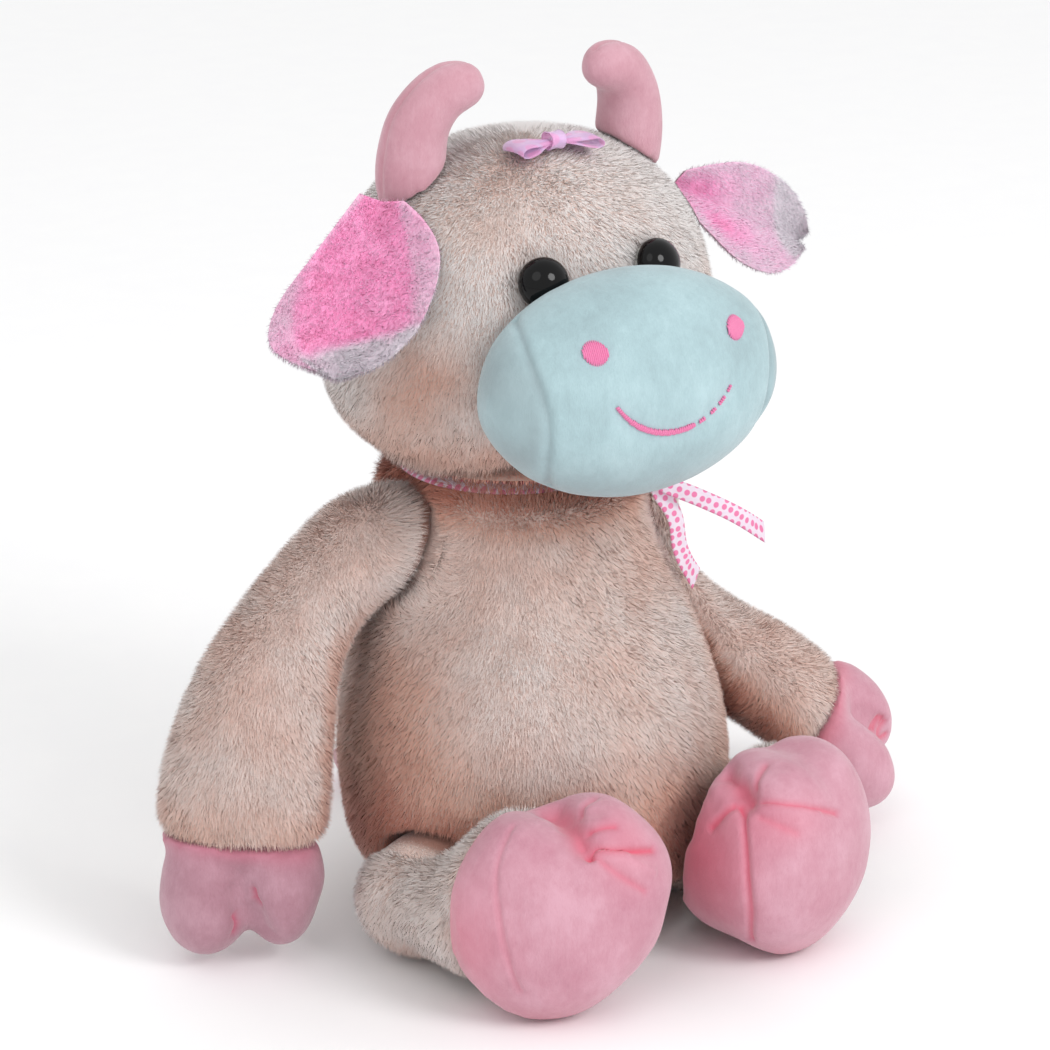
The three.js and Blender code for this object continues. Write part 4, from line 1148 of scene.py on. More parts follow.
@dataclass
class Head:
    """The round head with full cheeks, hollowed underneath for the neck."""

    anatomy: Anatomy
    finishes: Finishes
    width: float = 0.152
    depth: float = 0.119
    height: float = 0.127
    flatness: float = 2.15
    cap_room: float = 0.001
    shares: tuple = ((0, 1.22, 1.04), (0.3, 1.08, 1.01), (0.5, 1, 1), (1, 0.96, 1))

    def form(self) -> StuffedForm:
        """The head as a stuffed form, from its underside up."""
        return round_form(np.array(self.anatomy.head), self.height, self.width, self.depth, UP,
                          rows=self.shares, flatness=self.flatness)

    def under_surface(self, points: Array) -> Array:
        """How deep a place lies inside the head, by the form's power law, times half its depth."""
        away = points - np.array(self.anatomy.head)
        high = np.clip(away[:, 2] / (self.height / 2), -0.999, 0.999)
        girth = read_shares(self.shares, (high + 1) / 2)
        wide, deep = girth[:, 0] * self.width / 2, girth[:, 1] * self.depth / 2
        ring = np.hypot(away[:, 0] / wide, away[:, 1] / deep)
        out = (ring**self.flatness + np.abs(high) ** self.flatness) ** (1 / self.flatness)
        return (1 - out) * self.depth / 2

    def on_surface(self, across: float, rise: float) -> tuple:
        """The place of the head's front and its normal, at a place given sideways and upwards."""
        wide, high = across / (self.width / 2), rise / (self.height / 2)
        deep = math.sqrt(1 - wide * wide - high * high)
        place = np.array(self.anatomy.head) + np.array([across, -deep * self.depth / 2, rise])
        normal = unit(np.array([2 * wide / self.width, -2 * deep / self.depth, 2 * high / self.height]))
        return place, normal

    def build(self, muzzle: "Muzzle", eyes: "Eyes") -> None:
        """Makes the head's skin and its pile, which stays off the muzzle and the eyes."""
        skin = self.form().shell(-PILE_ROOM, 80, 96).piece("head_skin")
        girth = 2 * self.anatomy.neck_cap + 2 * self.cap_room
        cap = round_form(np.array(self.anatomy.neck), girth, girth, girth, UP)
        shape_with(skin, cap.shell(0, 60, 72), Operation.CUT)
        fill_out(skin, 0.0034, 0.0016, 1, 2)
        for place, normal in eyes.places():
            points = coordinates(skin)
            near = np.exp(-((np.linalg.norm(points - place, axis=1) / 0.0125) ** 4))
            move_to(skin, points - normal * (0.0022 * near)[:, None])
        # Painted shade on the bare skin in the socket under the head.
        add_shade(skin, 0.9 * soft_step(self.under_surface(coordinates(skin)), 0.0055, 0.0085))
        self.plant(skin, muzzle, eyes)
        dress(skin, self.finishes.fur_ground, "fur", "head", "head_cover", "head_filling")

    def plant(self, skin: bpy.types.Object, muzzle: "Muzzle", eyes: "Eyes") -> None:
        """Grows the head's pile."""
        centre = np.array(self.anatomy.head)

        def cover(points: Array, normals: Array) -> Array:
            """Longer low down, short at the socket's rim, and none in it, in the muzzle or by the eyes."""
            under = self.under_surface(points)
            low = 1 - soft_step(points[:, 2], 0.174, 0.184)
            room = (1 + 1.3 * low) * (1 - 0.5 * soft_step(under, 0.009, 0.0125))
            outwards = (unit(points - np.array(self.anatomy.neck)) * normals).sum(-1)
            room = np.where((under > 0.0085) & ((under > 0.02) | (outwards < -0.3)), 0, room)
            room = room * (muzzle.inside(points) > 0.985)
            for place, _ in eyes.places():
                away = np.linalg.norm(points - place, axis=1)
                lash = 1 + 0.6 * np.exp(-(((away - 0.0105) / 0.003) ** 2))
                room = room * np.where(away < eyes.radius - 0.0008, 0, lash)
            return room

        def nap(points: Array, normals: Array) -> Array:
            """Away from the crown and down, steeper at the head's low edge."""
            crown = points - (centre + np.array([0, -0.002, 0.06]))
            low = 1 - soft_step(points[:, 2], 0.172, 0.19)
            return unit(crown * np.array([1, 1, 0.4])) * 0.8 - UP * (0.6 + 1.2 * low)[:, None]

        def tone(points: Array, normals: Array) -> Array:
            """Pale and cloudy, with a patch over one eye, warm cheeks deepened by painted shade beside the
            muzzle, and painted shade along the low edge.
            """
            value = 0.98 + 0.07 * cloudy(points, 0.008, 3) + 0.07 * cloudy(points, 0.024, 4)
            value = value - 0.25 * bump_at(points, (-0.038, -0.025, 0.266), (0.012, 0.016, 0.008))
            # The cheeks are partly the fur's warm tone and partly painted shade beside the muzzle, more on
            # the right.
            cheek = bump_at(points, (-0.056, -0.026, 0.219), (0.018, 0.024, 0.018))
            cheek = cheek + 0.8 * bump_at(points, (-0.066, -0.014, 0.207), (0.018, 0.024, 0.016))
            value = value - 0.42 * cheek - 0.35 * bump_at(points, (0.06, -0.02, 0.222), (0.014, 0.02, 0.02))
            # Painted shade along the head's low edge, over the neck.
            return value - 0.7 * (1 - soft_step(points[:, 2], 0.172, 0.212))

        Pile(seed=21, length=0.0041).coat("head", skin, self.finishes.fur, "fur", "head", tone, cover, nap)


@dataclass
class Neck:
    """The firm wad of filling that the head turns and nods on, with a short ruff of pile at its edge."""

    anatomy: Anatomy
    finishes: Finishes
    cap_gap: float = 0.0006
    plug_radius: float = 0.024
    plug_depth: float = 0.022
    ruff_length: float = 0.6
    ruff_low: float = 0.0004
    ruff_high: float = 0.009
    ruff_cut: float = 0.0055

    def build(self) -> None:
        """Makes the wad: a round cap over a plug, one profile turned about the neck's axis.

        The ruff is cut down in front, where the head's edge comes down over it in a nod.
        """
        radius = self.anatomy.neck_cap - self.cap_gap
        edge = self.anatomy.neck_edge + CLEARANCE - self.anatomy.neck[2]
        angle = np.linspace(math.acos(edge / radius), 0, 24)
        cap = np.stack([radius * np.sin(angle), radius * np.cos(angle)], -1)
        start = [[0, edge - self.plug_depth], [self.plug_radius * 0.97, edge - self.plug_depth],
                 [self.plug_radius, edge - self.plug_depth * 0.95], [self.plug_radius, edge]]
        cap[-1, 0] = 0
        wad = turned_profile(np.vstack([start, cap]), np.array(self.anatomy.neck), UP, 72)
        piece = wad.piece("neck_wad")

        def cover(points: Array, normals: Array) -> Array:
            """The ruff between its two heights, and none elsewhere."""
            rise = points[:, 2] - self.anatomy.neck_edge
            ahead = soft_step(self.anatomy.neck[1] - points[:, 1], -0.004, 0.014)
            ruff = (rise > self.ruff_low) & (rise < self.ruff_high - self.ruff_cut * ahead)
            return np.where(ruff, self.ruff_length, 0)

        def tone(points: Array, normals: Array) -> Array:
            """Dark, as painted shade in the crease under the head, and a little cloudy."""
            return 0.16 + 0.1 * cloudy(points, 0.009, 12)

        Pile(seed=31).coat("neck", piece, self.finishes.fur, "fur", "neck", tone, cover)
        # Painted shade over the whole wad, which lies in the crease under the head.
        add_shade(piece, np.full(len(piece.data.vertices), 0.6))
        dress(piece, self.finishes.fur_ground, "fibre", "neck", "neck_filling")


@dataclass
class Muzzle:
    """The broad pale muzzle, with two side seams, stitched nostrils and a stitched smile."""

    anatomy: Anatomy
    finishes: Finishes
    head: Head
    width: float = 0.118
    depth: float = 0.062
    height: float = 0.082
    ahead: float = 0.071
    drop: float = 0.013
    flatness: float = 2.25
    nostril_radius: float = 0.0042
    nostril_spacing: float = 0.057
    nostril_lift: float = 0.02
    smile_width: float = 0.046
    smile_sag: float = 0.012
    smile_stitch: float = 0.0026
    smile_drop: float = 0.0105
    swell_room: float = 0.0006
    dimple: float = 0.0009
    seam: tuple = ((0.046, -0.045, 0.249), (0.0462, -0.06, 0.240), (0.0472, -0.0725, 0.2275),
                   (0.0462, -0.079, 0.212), (0.043, -0.0735, 0.1945), (0.036, -0.062, 0.182))

    def centre(self) -> Array:
        """The middle of the muzzle."""
        return np.array(self.anatomy.head) + AHEAD * self.ahead - UP * self.drop

    def form(self) -> StuffedForm:
        """The muzzle as a stuffed form, from the head forwards."""
        return round_form(self.centre(), self.depth, self.width, self.height, AHEAD,
                          facing=UP, flatness=self.flatness)

    def inside(self, points: Array) -> Array:
        """How far out a place lies, 1 on the surface: the form's own power law of its three shares."""
        away = np.abs(points - self.centre())
        ring = np.hypot(away[:, 0] / (self.width / 2), away[:, 2] / (self.height / 2))
        return (ring**self.flatness + (away[:, 1] / (self.depth / 2)) ** self.flatness) ** (1 / self.flatness)

    def build(self) -> None:
        """Makes the muzzle and its embroidery."""
        skin = self.form().shell(-VELOUR_ROOM - self.swell_room, 80, 96).piece("muzzle_skin")
        shape_with(skin, self.head.form().shell(-0.0012, 80, 96), Operation.CUT)
        fill_out(skin, 0.0034, 0.0010, 2, 6)
        # The seams, with painted shade in their creases.
        for side in Side:
            crease(skin, np.array([side.place(*p) for p in self.seam]), 0.0014, 0.0018, 0.3)
        # Painted shade on the side panels beyond the seams and under the muzzle.
        points = coordinates(skin)
        panel = soft_step(np.abs(points[:, 0]), 0.043, 0.05) * (0.35 + 0.25 * cloudy(points, 0.014, 44))
        add_shade(skin, np.clip(panel + 0.4 * (1 - soft_step(points[:, 2], 0.176, 0.206)), 0, 1))
        ripples = cloudy(points, 0.016, 45) * soft_step(np.abs(points[:, 0]), 0.036, 0.05)
        push_out(skin, 0.0007 * ripples)
        self.draw_in(skin)
        self.embroider(skin)
        dress(skin, self.finishes.muzzle, "muzzle_cloth", "head", "muzzle_cover", "muzzle_filling")

    def draw_in(self, skin: bpy.types.Object) -> None:
        """Sinks the cloth by dimple * exp(-(d/reach)^2) at both nostrils and along the smile."""
        points = coordinates(skin)
        front = points[:, 1] < self.centre()[1]
        sink = np.zeros(len(points))
        for side in Side:
            spot = self.centre() + side.place(self.nostril_spacing / 2, 0, self.nostril_lift)
            away = np.hypot(points[:, 0] - spot[0], points[:, 2] - spot[2])
            sink += self.dimple * np.exp(-((away / 0.008) ** 2)) * front
        flat = np.array([1, 0, 1])
        near = distance_to_line(points * flat, self.smile_line(np.linspace(-1, 1, 40)) * flat)
        sink += self.dimple * np.exp(-((near / 0.005) ** 2)) * front
        push_out(skin, -sink)

    def smile_line(self, share: Array) -> Array:
        """The smile: an arc whose chord is its width and whose rise is its sag, seen from the front."""
        half = self.smile_width / 2
        radius = (half * half + self.smile_sag**2) / (2 * self.smile_sag)
        turn = np.asarray(share) * math.asin(half / radius)
        centre = self.centre()
        x = radius * np.sin(turn)
        z = centre[2] - self.smile_drop + radius * (1 - np.cos(turn))
        return np.stack([x, np.full_like(x, centre[1] - 0.03), z], -1)

    def embroider(self, skin: bpy.types.Object) -> None:
        """Sews the nostrils and the smile from single satin stitches laid on the cloth."""
        tree = corner_tree(skin)
        for side in Side:
            spot = self.centre() + side.place(self.nostril_spacing / 2, -0.06, self.nostril_lift)
            rows = np.linspace(-0.92, 0.92, 13)
            half = np.sqrt(1 - rows**2) * self.nostril_radius
            middles = spot + OUTWARD * (rows * self.nostril_radius)[:, None]
            stitches = satin(tree, middles, np.tile(UP, (len(rows), 1)), half, 0.00042, 0.0008)
            piece = stitches.piece(f"nostril_stitches_{side.word}")
            dress(piece, self.finishes.thread, "thread", "head", f"nostril_{side.word}")
        share = np.linspace(-1, 1, 62)
        rng = np.random.default_rng(5)
        line = self.smile_line(share)
        line[:, 1] -= 0.03
        slope = unit(np.gradient(line, axis=0))
        across = unit(np.cross(AHEAD, slope) + slope * 0.35)
        thick = np.where(share < 0.25, 1.0, 0.62) * (1 - 0.45 * np.abs(share) ** 3)
        half = self.smile_stitch / 2 * thick * rng.uniform(0.85, 1.1, len(share))
        sewn = (share < 0.22) | (np.sin(share * 34) > -0.25)
        stitches = satin(tree, line[sewn], across[sewn], half[sewn], 0.00046, 0.0008)
        dress(stitches.piece("smile_stitches"), self.finishes.thread, "thread", "head", "mouth")


def satin(tree: BVHTree, middles: Array, ways: Array, half: Array, radius: float, rise: float) -> Shell:
    """Satin stitches side by side on a cloth: each is a slim closed tube, highest at its middle.

    A stitch follows middle + way * t * half, with t from -1 to 1, laid on the cloth behind it. Its
    height over the cloth is rise * (1 - t^4), and its girth is radius * sqrt(1 - t^6).

    Args:
        tree: The cloth's faces.
        middles: The stitches' middles, ahead of the cloth.
        ways: The direction of each stitch.
        half: Half the length of each stitch.
        radius: Half a stitch's thickness.
        rise: The height of its middle over the cloth.

    Returns:
        All the stitches as one surface.
    """
    t = np.linspace(-1, 1, 9)
    angle = 2 * np.pi * np.arange(7) / 7
    shells = []
    for middle, way, reach in zip(middles, unit(ways), half):
        line, normals = [], []
        for share in t:
            hit, normal, _, _ = tree.ray_cast(Vector(middle + way * share * reach), Vector(-AHEAD))
            if hit is None:
                break
            line.append(hit)
            normals.append(normal)
        if len(line) < len(t):
            continue
        normals = np.array(normals)
        line = np.array(line) + normals * (rise * (1 - t**4) - radius * 0.3)[:, None]
        side = unit(np.cross(unit(np.gradient(line, axis=0)), normals))
        girth = radius * np.sqrt(np.maximum(1 - t**6, 0.08))
        ring = (side[:, None] * np.cos(angle)[None, :, None] + normals[:, None]
                * np.sin(angle)[None, :, None]) * girth[:, None, None]
        points = line[:, None] + ring
        shells.append(closed_rings(points[0].mean(0), points, points[-1].mean(0)))
    return join_shells(shells)


def join_shells(shells: Sequence[Shell]) -> Shell:
    """Several surfaces as one."""
    starts = np.cumsum([0] + [len(s.points) for s in shells[:-1]])
    return Shell(
        np.vstack([s.points for s in shells]),
        np.vstack([s.quads + k for s, k in zip(shells, starts)]),
        np.vstack([s.triangles + k for s, k in zip(shells, starts)]),
    )


@dataclass
class Eyes:
    """Two glossy domes on shanks, each held inside the head by a washer."""

    finishes: Finishes
    head: Head
    radius: float = 0.009
    rise: float = 0.007
    spacing: float = 0.047
    lift: float = 0.021

    def places(self) -> list:
        """Where each eye sits and the way that it looks, right one first."""
        return [self.head.on_surface(side.value * self.spacing / 2, self.lift) for side in Side]

    def build(self) -> None:
        """Makes the domes: an ellipse's arc over a short rounded rim, turned about the eye's axis."""
        angle = np.linspace(0, math.pi / 2, 22)
        arc = np.stack([self.radius * np.cos(angle), CLEARANCE + self.rise * np.sin(angle)], -1)
        arc[-1, 0] = 0
        rim = [[0, -0.0016], [self.radius * 0.93, -0.0016], [self.radius * 0.985, -0.0009]]
        for side, (place, normal) in zip(Side, self.places()):
            eye = turned_profile(np.vstack([rim, arc]), place, normal, 64).piece(f"eye_dome_{side.word}")
            dress(eye, self.finishes.eye, "eye_plastic", "head", f"eye_{side.word}")
            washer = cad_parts[f"eye_washer_{side.word}"]
            washer.data.materials.clear()
            washer.data.materials.append(self.finishes.washer)


@dataclass
class Horns:
    """Two curved velour horns, seamed along the inner side."""

    anatomy: Anatomy
    finishes: Finishes
    head: Head
    length: float = 0.056
    diameter: float = 0.027
    spacing: float = 0.086
    lift: float = 0.042
    seam_share: float = 0.42
    route: tuple = ((0, 0, -0.12), (0.04, -0.03, 0.25), (0, -0.08, 0.52), (-0.15, -0.15, 0.7),
                    (-0.4, -0.2, 0.71))
    shares: tuple = ((0, 1, 1), (0.35, 0.94, 0.94), (0.7, 0.78, 0.78), (1, 0.66, 0.66))

    def build(self) -> None:
        """Makes both horns."""
        for side in Side:
            base = np.array(self.anatomy.head) + side.place(self.spacing / 2, 0, self.lift)
            spine = Spline(np.array([base + side.place(*p) * self.length for p in self.route]))
            form = StuffedForm(spine, self.diameter, self.diameter, self.shares, 0.04, 0.16)
            horn = form.shell(-VELOUR_ROOM, 60, 48).piece(f"horn_skin_{side.word}")
            shape_with(horn, self.head.form().shell(-0.0015, 60, 72), Operation.CUT)
            fill_out(horn, 0.002, 0.0006, 1, 5, 2.0)
            share = np.linspace(0.05, 0.97, 14)
            across = unit(np.cross(AHEAD, spine.along(share)))
            seam = spine.at(share) + across * self.diameter * self.seam_share * -side.value
            # The seam, with painted shade in its crease.
            crease(horn, seam, 0.0007, 0.0013, 0.2)
            push_out(horn, 0.00035 * cloudy(coordinates(horn) * np.array([1, 1, 0.6]), 0.009, 31))
            dress(horn, self.finishes.horn_velour, "velour", "head", f"horn_{side.word}")


@dataclass(frozen=True)
class EarPose:
    """How one ear is held, in directions and shares of its sizes."""

    along: tuple
    facing: tuple
    drop: float
    length: float
    width: float
    fold: float
    skew: float


@dataclass
class Ears:
    """Two leaf-shaped ears of two sewn panels: a pink plush lining and a pale back."""

    anatomy: Anatomy
    finishes: Finishes
    head: Head
    length: float = 0.069
    width: float = 0.06
    panel: float = 0.0026
    spacing: float = 0.121
    lift: float = 0.045
    ahead: float = 0.008
    fold: float = 0.009
    pile_room: float = 0.0017
    outline: tuple = ((0, 0.3), (0.2, 0.62), (0.45, 0.95), (0.65, 1), (0.82, 0.86), (0.94, 0.52), (1, 0.16))

    def pose(self, side: Side) -> EarPose:
        """The pose of one ear, before it is mirrored to its side."""
        if side is Side.RIGHT:
            return EarPose((0.53, -0.43, -0.73), (0.43, -0.61, 0.67), 0, 1, 0.86, 0.4, 0.2)
        return EarPose((0.88, -0.08, -0.45), (0, -0.95, 0.3), 0.16, 0.87, 0.6, 0.7, 0.06)

    def carried(self, side: Side) -> tuple:
        """Where an ear is rooted, and the ways along it and across it."""
        pose = self.pose(side)
        along = unit(side.place(*pose.along))
        across = unit(np.cross(side.place(*pose.facing), along))
        rise = self.lift - pose.drop * self.length
        return np.array(self.anatomy.head) + side.place(self.spacing / 2, -self.ahead, rise), along, across

    def leaf(self, side: Side, low: float, high: float) -> Shell:
        """One panel between two heights over the leaf's middle surface, rounded at its edge.

        A point is base + along * length * (far - skew * sin(pi * far) * aside)
        + across * half width * aside + out * (fold * |aside| + height). The height lies between low
        and high, and both meet their middle at the edge by the factor sqrt(1 - aside^6).

        Args:
            side: Which ear.
            low: The panel's lower height.
            high: Its upper height.

        Returns:
            The panel.
        """
        pose = self.pose(side)
        base, along, across = self.carried(side)
        out = np.cross(along, across)
        rows, columns = 46, 35
        far = ((1 - np.cos(np.pi * np.linspace(0.035, 0.985, rows))) / 2)[:, None]
        aside = np.sin(np.pi / 2 * np.linspace(-1, 1, columns))[None, :]
        reach = read_shares(self.outline, far[:, 0]) * pose.width * self.width / 2
        slant = pose.skew * np.sin(np.pi * far)
        middle = (base + along * (self.length * pose.length * (far - slant * aside))[..., None]
                  + across * (reach * aside)[..., None])
        lift = pose.fold * self.fold * (np.sqrt(aside**2 + 0.02) - 0.14) * np.ones_like(far)
        ends = np.sqrt(np.clip(np.minimum(far / 0.05, (1 - far) / 0.05), 0.05, 1))
        thin = np.sqrt(1 - 0.97 * aside**6) * ends
        centre, half = (low + high) / 2, (high - low) / 2
        top = middle + out * (lift + centre + half * thin)[..., None]
        bottom = middle + out * (lift + centre - half * thin)[..., None]
        count = rows * columns
        faces = open_grid(top).quads
        index = np.arange(count).reshape(rows, columns)
        edge = np.r_[index[0, :-1], index[:-1, -1], index[-1, :0:-1], index[:0:-1, 0]]
        after = np.roll(edge, -1)
        rim = np.stack([edge, edge + count, after + count, after], -1)
        quads = np.vstack([faces, faces[:, ::-1] + count, rim])
        return Shell(np.vstack([top.reshape(-1, 3), bottom.reshape(-1, 3)]), quads)

    def build(self) -> None:
        """Makes both ears, each a lining and a back with their pile."""
        half = CLEARANCE / 2
        for side in Side:
            self.panel_piece(side, self.leaf(side, half, half + self.panel - self.pile_room), True)
            self.panel_piece(side, self.leaf(side, -half - self.panel + self.pile_room, -half), False)

    def panel_piece(self, side: Side, shell: Shell, pink: bool) -> None:
        """Dresses one panel of an ear and grows its pile.

        Args:
            side: Which ear.
            shell: The panel.
            pink: Whether it is the lining, which looks ahead, or the back.
        """
        word = "lining" if pink else "back"
        skin = shell.piece(f"ear_{word}_skin_{side.word}")
        recalculate(skin)
        shape_with(skin, self.head.form().shell(-0.0006, 60, 72), Operation.CUT)
        pose = self.pose(side)
        base, along, across = self.carried(side)
        out = np.cross(along, across) * (1 if pink else -1)

        def place_of(points: Array) -> tuple:
            """The share along the ear and the share aside."""
            arm = points - base
            far = np.clip(arm @ along / (self.length * pose.length), 0, 1)
            reach = read_shares(self.outline, far)[:, 0] * pose.width * self.width / 2
            return far, np.clip(arm @ across / reach, -1.2, 1.2)

        def cover(points: Array, normals: Array) -> Array:
            """Everywhere but on the side that meets the other panel."""
            return np.where(normals @ out > -0.25, 1.0, 0.0)

        def tone(points: Array, normals: Array) -> Array:
            """Cloudy pink with a pale border and tip; the left ear is palest, with two stronger spots."""
            far, aside = place_of(points)
            clouds = 0.14 * cloudy(points, 0.005, 41) + 0.12 * cloudy(points, 0.013, 42)
            if not pink:
                return 0.92 + 0.3 * clouds
            border = soft_step(np.abs(aside), 0.62, 0.86) * 0.4
            rim = soft_step(far + 0.16 * aside, 0.76, 0.86)
            if side is Side.RIGHT:
                return 0.3 + 0.8 * clouds + border + rim * 0.75
            flat = np.stack([far, aside, aside * 0], -1)
            hot = bump_at(flat, (0.12, 0.3, 0), (0.26, 0.5, 1))
            dusky = bump_at(flat, (0.4, -0.45, 0), (0.24, 0.3, 1))
            return 0.82 + 0.5 * clouds + rim * 0.3 - 0.6 * hot - 0.55 * dusky

        def nap(points: Array, normals: Array) -> Array:
            """Along the ear."""
            return np.tile(along, (len(points), 1))

        if pink:
            add_shade(skin, np.clip(1.5 * (tone(coordinates(skin), normals_of(skin)) - 0.42), 0, 1))
        pile = Pile(length=0.0023, width=0.00036, per_square_metre=6e6, lean=1.0, unruly=0.6,
                    seed=51 + side.value).grow(f"ear_{word}_pile_{side.word}", skin, tone, cover, nap)
        body, slot = f"ear_{side.word}", "ear_lining" if pink else "ear_cloth"
        dress(pile, self.finishes.ear_pink, slot, body)
        ground = self.finishes.ear_ground if pink else self.finishes.ear_pale
        dress(skin, ground, slot, body, f"ear_{word}_{side.word}")


def recalculate(piece: bpy.types.Object) -> None:
    """Turns a closed mesh's faces outwards, by the sign of its volume."""
    corners = coordinates(piece)[triangles_of(piece)]
    volume = np.einsum("ij,ij->i", corners[:, 0], np.cross(corners[:, 1], corners[:, 2])).sum()
    if volume < 0:
        piece.data.flip_normals()
        piece.data.update()


@dataclass(frozen=True)
class ArmPose:
    """How one arm hangs, as tables of shares of its sizes."""

    route: tuple
    shares: tuple
    palm: tuple
    lobes: tuple


RIGHT_ARM = ArmPose(
    route=((-0.05, 0, -0.01), (0.08, 0, 0.005), (0.18, 0, -0.05), (0.265, -0.01, -0.13),
           (0.335, -0.03, -0.22), (0.38, -0.04, -0.32), (0.415, -0.05, -0.43), (0.435, -0.06, -0.54),
           (0.445, -0.065, -0.62)),
    shares=((0, 0.7, 0.95), (0.15, 0.7, 0.95), (0.3, 0.68, 0.9), (0.45, 0.76, 0.92), (0.6, 0.9, 0.98),
            (0.8, 1, 1), (1, 0.98, 0.9)),
    palm=(0.5, -0.85, 0),
    lobes=((0.16, 0.09, 1), (-0.24, -0.015, 0.86)),
)
LEFT_ARM = ArmPose(
    route=((-0.05, 0, 0.01), (0.08, 0.02, -0.04), (0.12, 0.05, -0.16), (0.17, 0.04, -0.27),
           (0.26, 0, -0.38), (0.37, -0.06, -0.47), (0.47, -0.11, -0.56), (0.52, -0.13, -0.61)),
    shares=((0, 0.64, 0.95), (0.15, 0.62, 0.76), (0.3, 0.62, 0.62), (0.45, 0.66, 0.68),
            (0.6, 0.76, 0.8), (0.8, 0.86, 0.9), (1, 0.88, 0.86)),
    palm=(0.6, -0.66, 0.45),
    lobes=((0.22, -0.01, 0.94), (-0.24, 0.03, 0.84)),
)


@dataclass
class Arms:
    """Two soft arms that hang from round roots and end in cleft hooves."""

    anatomy: Anatomy
    finishes: Finishes
    length: float = 0.178
    width: float = 0.066
    thickness: float = 0.044
    wrist: float = 0.9
    lobe_length: float = 0.052
    lobe_width: float = 0.037
    lobe_thickness: float = 0.036
    swell_room: float = 0.0006

    def build(self) -> None:
        """Makes both arms."""
        for side, pose in ((Side.RIGHT, RIGHT_ARM), (Side.LEFT, LEFT_ARM)):
            self.arm(side, pose)

    def outline(self, side: Side, pose: ArmPose, name: str, grow: float, spine: Spline,
                palm: Array) -> bpy.types.Object:
        """One whole arm with both lobes of its hand, moved outwards by grow."""
        limb = StuffedForm(spine, self.width, self.thickness, pose.shares, 0.02, 0.14, facing=palm)
        piece = limb.shell(grow, 90, 72).piece(name)
        end, along = spine.at(1.0)[0], spine.along(1.0)[0]
        across = unit(np.cross(palm, along)) * side.value
        for aside, ahead, girth in pose.lobes:
            centre = end + across * aside * self.width + along * ahead * self.lobe_length
            lobe = round_form(centre, self.lobe_length, self.lobe_width * girth, self.lobe_thickness,
                              along, facing=palm)
            shape_with(piece, lobe.shell(grow, 40, 48), Operation.JOIN)
        return piece

    def arm(self, side: Side, pose: ArmPose) -> None:
        """Makes one arm: its pile-covered sleeve and its velour hoof."""
        place, axis = self.anatomy.shoulder_of(side)
        spine = Spline(np.array([place + side.place(*p) * self.length for p in pose.route]))
        palm = unit(side.place(*pose.palm))
        split, along = spine.at(self.wrist)[0], spine.along(self.wrist)[0]
        sleeve = self.outline(side, pose, f"arm_skin_{side.word}", -PILE_ROOM, spine, palm)
        shape_with(sleeve, self.anatomy.arm_room(side, SOCKET_ROOM), Operation.KEEP)
        shape_with(sleeve, half_space(split + along * 0.001, along), Operation.CUT)
        fill_out(sleeve, 0.0034, 0.0014, 1, 3)
        flank = self.anatomy.flank_rise
        fit_round(sleeve, place, axis, self.anatomy.armhole - CLEARANCE, (-0.01, flank), False)
        hoof = self.outline(side, pose, f"hand_hoof_skin_{side.word}", -VELOUR_ROOM - self.swell_room,
                            spine, palm)
        shape_with(hoof, half_space(split + along * 0.0012, along), Operation.KEEP)
        fill_out(hoof, 0.0024, 0.0009, 1, 5)
        self.pleat(hoof, side, pose, spine, palm)
        self.plant(sleeve, side, split, along, place, axis)
        body = f"arm_{side.word}"
        high = (coordinates(sleeve) - place) @ axis
        # Painted shade on the sleeve's bare root, in the crease against the torso.
        add_shade(sleeve, 0.85 * (1 - soft_step(high, flank - 0.001, flank + 0.004)))
        dress(sleeve, self.finishes.fur_ground, "fur", body, f"arm_cover_{side.word}",
              f"arm_filling_{side.word}")
        # The right hand takes a darker copy of the velour: painted shade for the side away from the light.
        cloth = self.finishes.shaded_velour_copy if side is Side.RIGHT else self.finishes.velour
        dress(hoof, cloth, "velour", body, f"hand_hoof_{side.word}")

    def pleat(self, hoof: bpy.types.Object, side: Side, pose: ArmPose, spine: Spline,
              palm: Array) -> None:
        """Sews the hoof's cleft line on both faces, lets the cloth pucker beside it, and paints shade in the
        cleft and at the wrist.
        """
        end, along = spine.at(1.0)[0], spine.along(1.0)[0]
        across = unit(np.cross(palm, along)) * side.value
        middle = (pose.lobes[0][0] + pose.lobes[1][0]) / 2 * self.width
        for face in (1, -1):
            t = np.linspace(-0.001, 0.02, 9)
            line = (end + across * (middle + 0.2 * t[:, None] * side.value) + along * t[:, None]
                    + palm * face * (self.lobe_thickness / 2 - 0.001))
            crease(hoof, line, 0.0024, 0.0042)
            # Painted shade in the cleft's seam.
            crease(hoof, line, 0.0016, 0.0014, 0.7)
        points = coordinates(hoof)
        push_out(hoof, cloudy(points, 0.011, 61) * 0.0006)
        split, way = spine.at(self.wrist)[0], spine.along(self.wrist)[0]
        # Painted shade where the hoof meets the sleeve at the wrist.
        add_shade(hoof, 0.45 * np.exp(-((((points - split) @ way) / 0.006) ** 2)))

    def plant(self, sleeve: bpy.types.Object, side: Side, split: Array, along: Array, place: Array,
              axis: Array) -> None:
        """Grows the sleeve's pile, with none on the root that lies against the torso."""
        flank = self.anatomy.flank_rise

        def cover(points: Array, normals: Array) -> Array:
            """Longer just outside the root, and none on the root or on the cut at the wrist."""
            high = (points - place) @ axis
            room = np.where(high > flank - 0.002, 1.35 - 0.35 * soft_step(high, 0.014, 0.022), 0)
            ending = (points - split) @ along
            return room * np.where((ending > -0.002) & (normals @ along > 0.8), 0, 1)

        def tone(points: Array, normals: Array) -> Array:
            """Cloudy, with painted shade on the side that faces the torso, and darker near the wrist."""
            value = 0.62 + 0.08 * cloudy(points, 0.009, 5) + 0.09 * cloudy(points, 0.024, 6)
